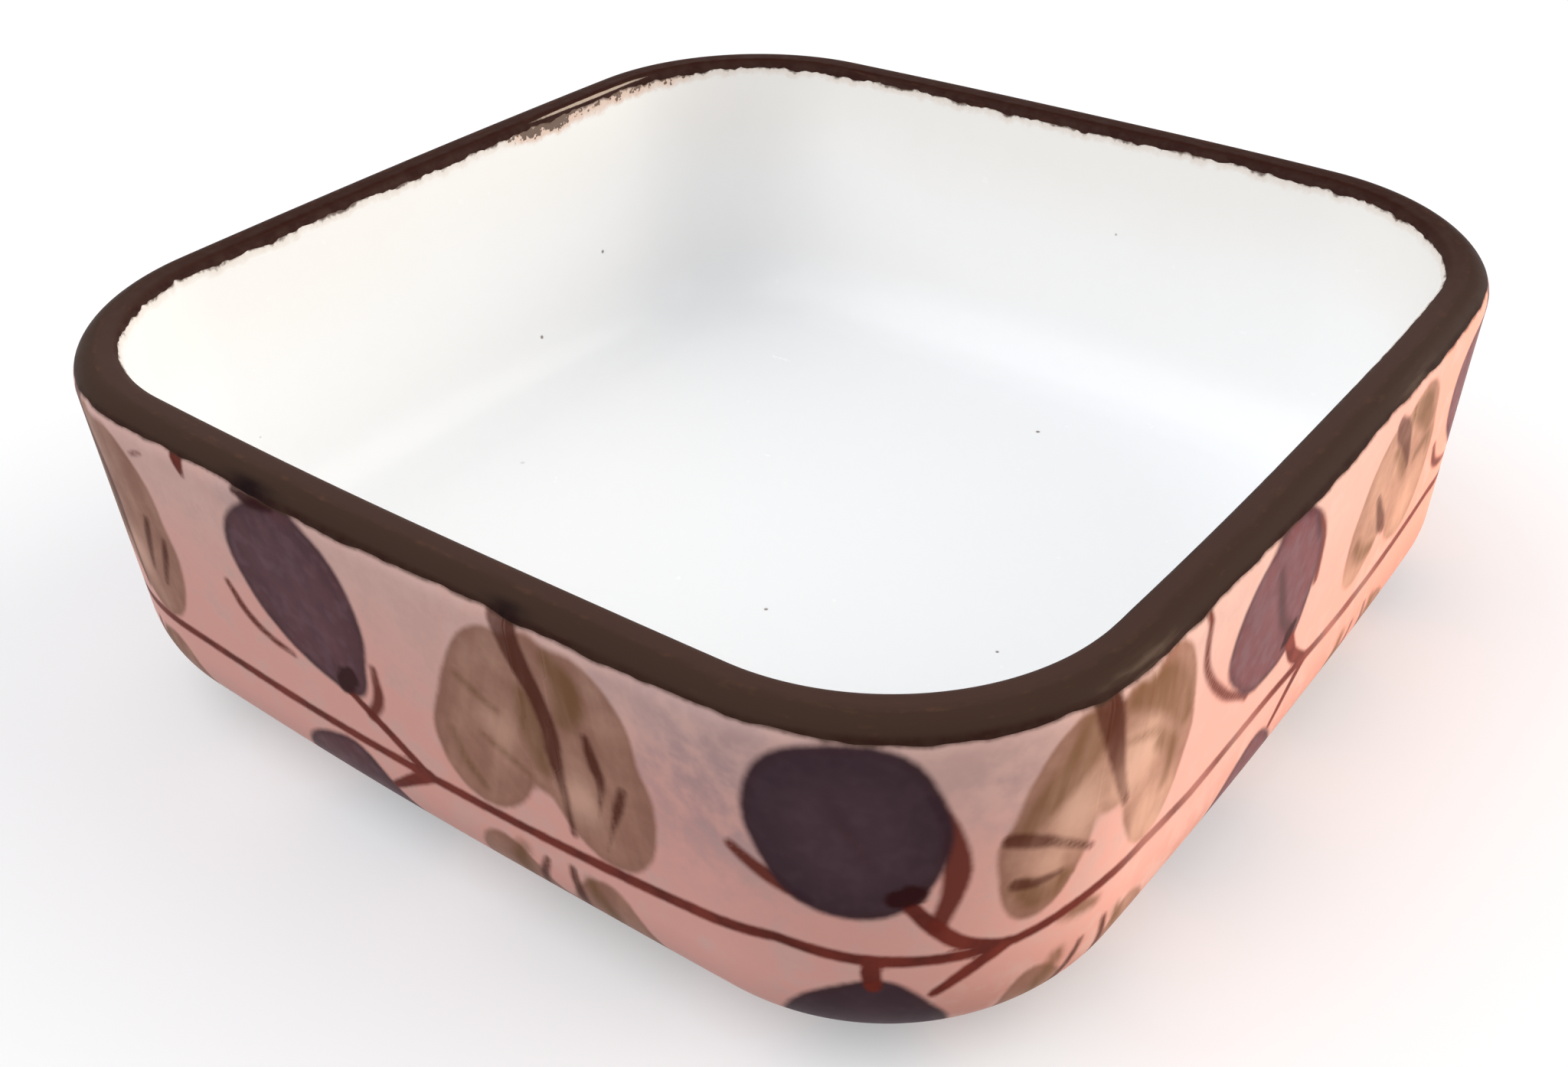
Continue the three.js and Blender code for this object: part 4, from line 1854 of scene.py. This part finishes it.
    def rim(self, finish: bpy.types.Material) -> bpy.types.Object:
        """Models the brown band over the lip, between its two wavering edges.

        Args:
            finish: Its material.

        Returns:
            The piece.
        """
        cut, outer, inner = self.section, self.section.outer, self.section.inner
        model = RingModel("rim_brown", self.plan, self.fine())
        for depth, steps in ((0.0, 12), (cut.glaze, 4)):
            out_in, out_z = outer.place(np.linspace(self.band_outside, 0, steps), depth)
            flat = np.linspace(outer.lip[0], inner.lip[0], 2 + steps // 3)[1:-1]
            in_in, in_z = inner.place(np.linspace(0, self.band_inside, steps), depth)
            levels = np.concatenate([out_z, np.full(len(flat), cut.height - depth), in_z])
            model.skin(np.concatenate([out_in, flat, in_in]), levels, Facing.UP)
            model.open_end()
        middle = cut.wall / 2
        model.bridge(lambda point: self.inset_of(point) < middle)
        model.bridge(lambda point: self.inset_of(point) > middle)
        piece = model.finish()
        places = places_of(piece)
        around, inset = self.plan.locate(places[:, 0], places[:, 1])
        out_run, out_depth = outer.locate(inset, places[:, 2])
        in_run, in_depth = inner.locate(inset, places[:, 2])
        outside, inside = inset < outer.lip[0] - 0.01, inset > inner.lip[0] + 0.01
        stretch = (self.hand.outside_edge(around) - self.band_outside) * (out_run / self.band_outside) ** 2
        out_run = np.where(outside, out_run + stretch, 0.0)
        stretch = (self.hand.inside_edge(around) - self.band_inside) * (in_run / self.band_inside) ** 2
        in_run = np.where(inside, in_run + stretch, 0.0)
        faces = (outside, outer, out_run, out_depth), (inside, inner, in_run, in_depth)
        for side, face, run, depth in faces:
            insets, places[side, 2] = face.place(run[side], depth[side])
            places[side, :2] = self.plan.place(around[side], insets)
        crest = inner.lip[0] - outer.lip[0]
        middle_run = np.where(outside, -out_run, np.where(inside, in_run + crest, inset - outer.lip[0]))
        turn = around / self.plan.girth * 2 * math.pi
        reach = self.plan.girth / (2 * math.pi) * MM
        lay = np.stack([reach * np.cos(turn), reach * np.sin(turn), middle_run * MM], -1)
        note(piece, "lay", lay)
        low = np.where(outside, ease(out_run, *self.dab_runs), 0.0)
        note(piece, "dab", low * self.hand.humps(around, self.dark_dabs))
        note(piece, "olive", low * self.hand.humps(around, self.olive_dabs))
        note(piece, "across", middle_run)
        note(piece, "wear", self.scuff(around, np.where(inside, in_run, -1.0)))
        settle(piece, places)
        return self.keep(piece, "rim_glaze", finish)

    def inset_of(self, point: Vector) -> float:
        """Inset of one point of the lip."""
        return float(self.plan.locate(np.array([point.x]), np.array([point.y]))[1][0])

    def outside(self, finish: bpy.types.Material, layout: BorderLayout) -> bpy.types.Object:
        """Models the pink coat from the band to the foot, and marks where its border is painted.

        Args:
            finish: Its material.
            layout: Where the border's paints go.

        Returns:
            The piece.
        """
        cut, face = self.section, self.section.outer
        model = RingModel("outside_pink", self.plan, self.fine())
        seen = np.concatenate([np.arange(self.band_outside, 68, 0.8), np.linspace(68.5, cut.outer_end, 9)])
        lower = np.linspace(52, cut.outer_end, 8)
        under = np.concatenate([[self.band_outside, 7], np.linspace(16, 48, 4), lower])
        for runs, depth in ((seen, 0.0), (under, cut.glaze)):
            model.skin(*face.place(runs, depth), Facing.DOWN)
            model.open_end()
        model.bridge(lambda point: point.z > cut.height / 2)
        model.bridge(lambda point: point.z < cut.height / 2)
        piece = model.finish()
        places = places_of(piece)
        around, inset = self.plan.locate(places[:, 0], places[:, 1])
        run, depth = face.locate(inset, places[:, 2])
        edge = self.hand.outside_edge(around)
        still = self.band_outside + self.outside_blend
        run = run + (edge - self.band_outside) * (1 - ease(run, self.band_outside, still))
        insets, places[:, 2] = face.place(run, depth)
        places[:, :2] = self.plan.place(around, insets)
        rise = face.lip[1] - face.lip_round * math.sin(face.lean) - (run - face.start)
        unrolled = self.hand.apart(around, self.unrolled_middle) + self.unrolled_middle
        border = Border(self.hand, unrolled, rise)
        layout.brush_on(border, self.plan.girth)
        for paint, gap in border.gaps.items():
            note(piece, paint.value, gap)
        note(piece, "brush", border.brush)
        note(piece, "thin", border.thin)
        note(piece, "load", border.load)
        note(piece, "blot", border.blot)
        note(piece, "band", run - edge)
        settle(piece, places)
        return self.keep(piece, "outer_glaze", finish)


@dataclass
class Studio:
    """A plain pale floor, soft light and the camera, which stands as it did for the photo."""

    camera_place: Triple = (164.179, -217.013, 196.126)
    azimuth: float = 37.954
    elevation: float = 33.914
    roll: float = -1.352
    lens: float = 39.555
    sensor: float = 36.0
    nearest: float = 0.01
    floor_size: float = 12.0
    floor_level: float = -0.1
    floor_seen: Colour = (0.76, 0.77, 0.79, 1.0)
    floor_glow: float = 0.27
    floor_bounce: Colour = (0.45, 0.44, 0.44, 1.0)
    sky_strength: float = 0.485
    key_strength: float = 2.2
    key_angle: Pair = (134.0, 18.0)
    key_tint: Triple = (1.0, 0.95, 0.87)
    spread: float = 70.0
    lamp_distance: float = 2.0
    strip_strength: float = 3.9
    strip_angle: float = 130.0
    strip_distance: float = 0.7
    strip_size: Pair = (0.5, 0.03)
    strip_lift: float = 0.005
    strip_tint: Triple = (1.0, 0.8, 0.57)
    front_strength: float = 1.36
    front_angle: Pair = (-36.0, 52.0)
    front_tint: Triple = (0.98, 0.99, 1.0)

    @staticmethod
    def towards(turn: float, up: float = 0.0) -> Vector:
        """Points out a direction.

        Args:
            turn: Compass angle from -Y towards +X, in degrees.
            up: Height above the horizon, in degrees.

        Returns:
            A vector of length 1.
        """
        a, e = math.radians(turn), math.radians(up)
        return Vector((math.sin(a) * math.cos(e), -math.cos(a) * math.cos(e), math.sin(e)))

    def camera(self) -> None:
        """Sets the camera."""
        a, r = math.radians(self.azimuth), math.radians(self.roll)
        back = self.towards(self.azimuth, self.elevation)
        level = Vector((math.cos(a), math.sin(a), 0))
        rise = back.cross(level)
        right = level * math.cos(r) + rise * math.sin(r)
        upward = rise * math.cos(r) - level * math.sin(r)
        turned = Matrix((right, upward, back)).transposed().to_4x4()
        bpy.ops.object.camera_add()
        camera = bpy.context.object
        camera.name = "photo_camera"
        camera.matrix_world = Matrix.Translation(Vector(self.camera_place) * MM) @ turned
        camera.data.lens = self.lens
        camera.data.sensor_width = self.sensor
        camera.data.sensor_fit = "HORIZONTAL"
        camera.data.clip_start = self.nearest
        bpy.context.scene.camera = camera

    def floor(self) -> None:
        """Lays the pale floor, just under the foot."""
        bpy.ops.object.select_all(action="DESELECT")
        bpy.ops.mesh.primitive_plane_add(size=self.floor_size, location=(0, 0, self.floor_level * MM))
        floor = bpy.context.object
        floor.name = "studio_floor"
        sheet = NodeSheet(bpy.data.materials.new("studio_floor"))
        seen = sheet.shown()
        finish = sheet.surface(
            Base_Color=sheet.blend(self.floor_bounce, self.floor_seen, seen),
            Roughness=0.9,
            Specular_IOR_Level=0.0,
            Emission_Color=sheet.blend((0, 0, 0, 1), (1, 1, 1, 1), seen),
            Emission_Strength=self.floor_glow,
        )
        floor.data.materials.append(finish)

    def hang(self, kind: str, name: str, towards: Vector, place: Vector) -> bpy.types.Object:
        """Adds a lamp.

        Args:
            kind: Type of lamp.
            name: Its name.
            towards: Direction that its light comes from.
            place: Where it is.

        Returns:
            The lamp.
        """
        bpy.ops.object.light_add(type=kind, location=place)
        lamp = bpy.context.object
        lamp.name = name
        lamp.rotation_euler = towards.to_track_quat("Z", "Y").to_euler()
        return lamp

    def strip(self) -> bpy.types.Object:
        """Stands a low strip lamp beside the dish, lower than the lip.

        Returns:
            The lamp.
        """
        towards = self.towards(self.strip_angle)
        lift = Vector((0, 0, self.strip_lift + self.strip_size[1] / 2))
        lamp = self.hang("AREA", "strip_lamp", towards, towards * self.strip_distance + lift)
        lamp.data.shape = "RECTANGLE"
        lamp.data.size, lamp.data.size_y = self.strip_size
        lamp.data.energy = self.strip_strength
        lamp.data.color = self.strip_tint
        lamp.visible_camera = False
        lamp.visible_glossy = False
        return lamp

    def flag(self, lamp: bpy.types.Object, lit: bpy.types.Object) -> None:
        """Screens a lamp off from all but one piece.

        Args:
            lamp: The lamp.
            lit: The piece that it still lights.
        """
        receivers = bpy.data.collections.new(f"{lamp.name}_lights")
        receivers.objects.link(lit)
        lamp.light_linking.receiver_collection = receivers

    def lamp(self, name: str, strength: float, angles: Pair, shade: Triple) -> None:
        """Hangs a broad soft lamp, far off.

        Args:
            name: The lamp's name.
            strength: Light on a face turned to it.
            angles: Compass angle from -Y towards +X, and height above the horizon, in degrees.
            shade: Its colour.
        """
        towards = self.towards(*angles)
        lamp = self.hang("SUN", name, towards, towards * self.lamp_distance)
        lamp.data.energy = strength
        lamp.data.angle = math.radians(self.spread)
        lamp.data.color = shade

    def sky(self) -> None:
        """Lights the scene evenly, and shows white past the floor."""
        world = bpy.data.worlds.new("studio_sky")
        bpy.context.scene.world = world
        sheet = NodeSheet(world)
        strength = sheet.shown().step(0, 1, self.sky_strength, 1.0)
        light = sheet.add("ShaderNodeBackground", {}, {"Color": (1, 1, 1, 1), "Strength": strength})
        sheet.place("ShaderNodeOutputWorld", {}, {"Surface": light})

    def build(self, outside: bpy.types.Object) -> None:
        """Sets the camera, the floor and the light.

        Args:
            outside: The coat that the strip lamp lights.
        """
        self.camera()
        self.floor()
        self.lamp("key_lamp", self.key_strength, self.key_angle, self.key_tint)
        self.flag(self.strip(), outside)
        self.lamp("front_lamp", self.front_strength, self.front_angle, self.front_tint)
        self.sky()
        bpy.context.scene.view_settings.view_transform = "Standard"


def main() -> None:
    """Builds the dish piece by piece, then the studio."""
    logging.basicConfig(level=logging.INFO, format="%(name)s %(message)s")
    dish = Dish()
    clay = BareClay().material()
    dish.clay(clay)
    dish.foot(clay)
    dish.base(BaseGlaze().material())
    dish.liner(WhiteGlaze().material())
    dish.rim(BrownGlaze().material())
    outside = dish.outside(PinkGlaze().material(), BorderLayout())
    Studio().build(outside)


if __name__ == "__main__":
    main()
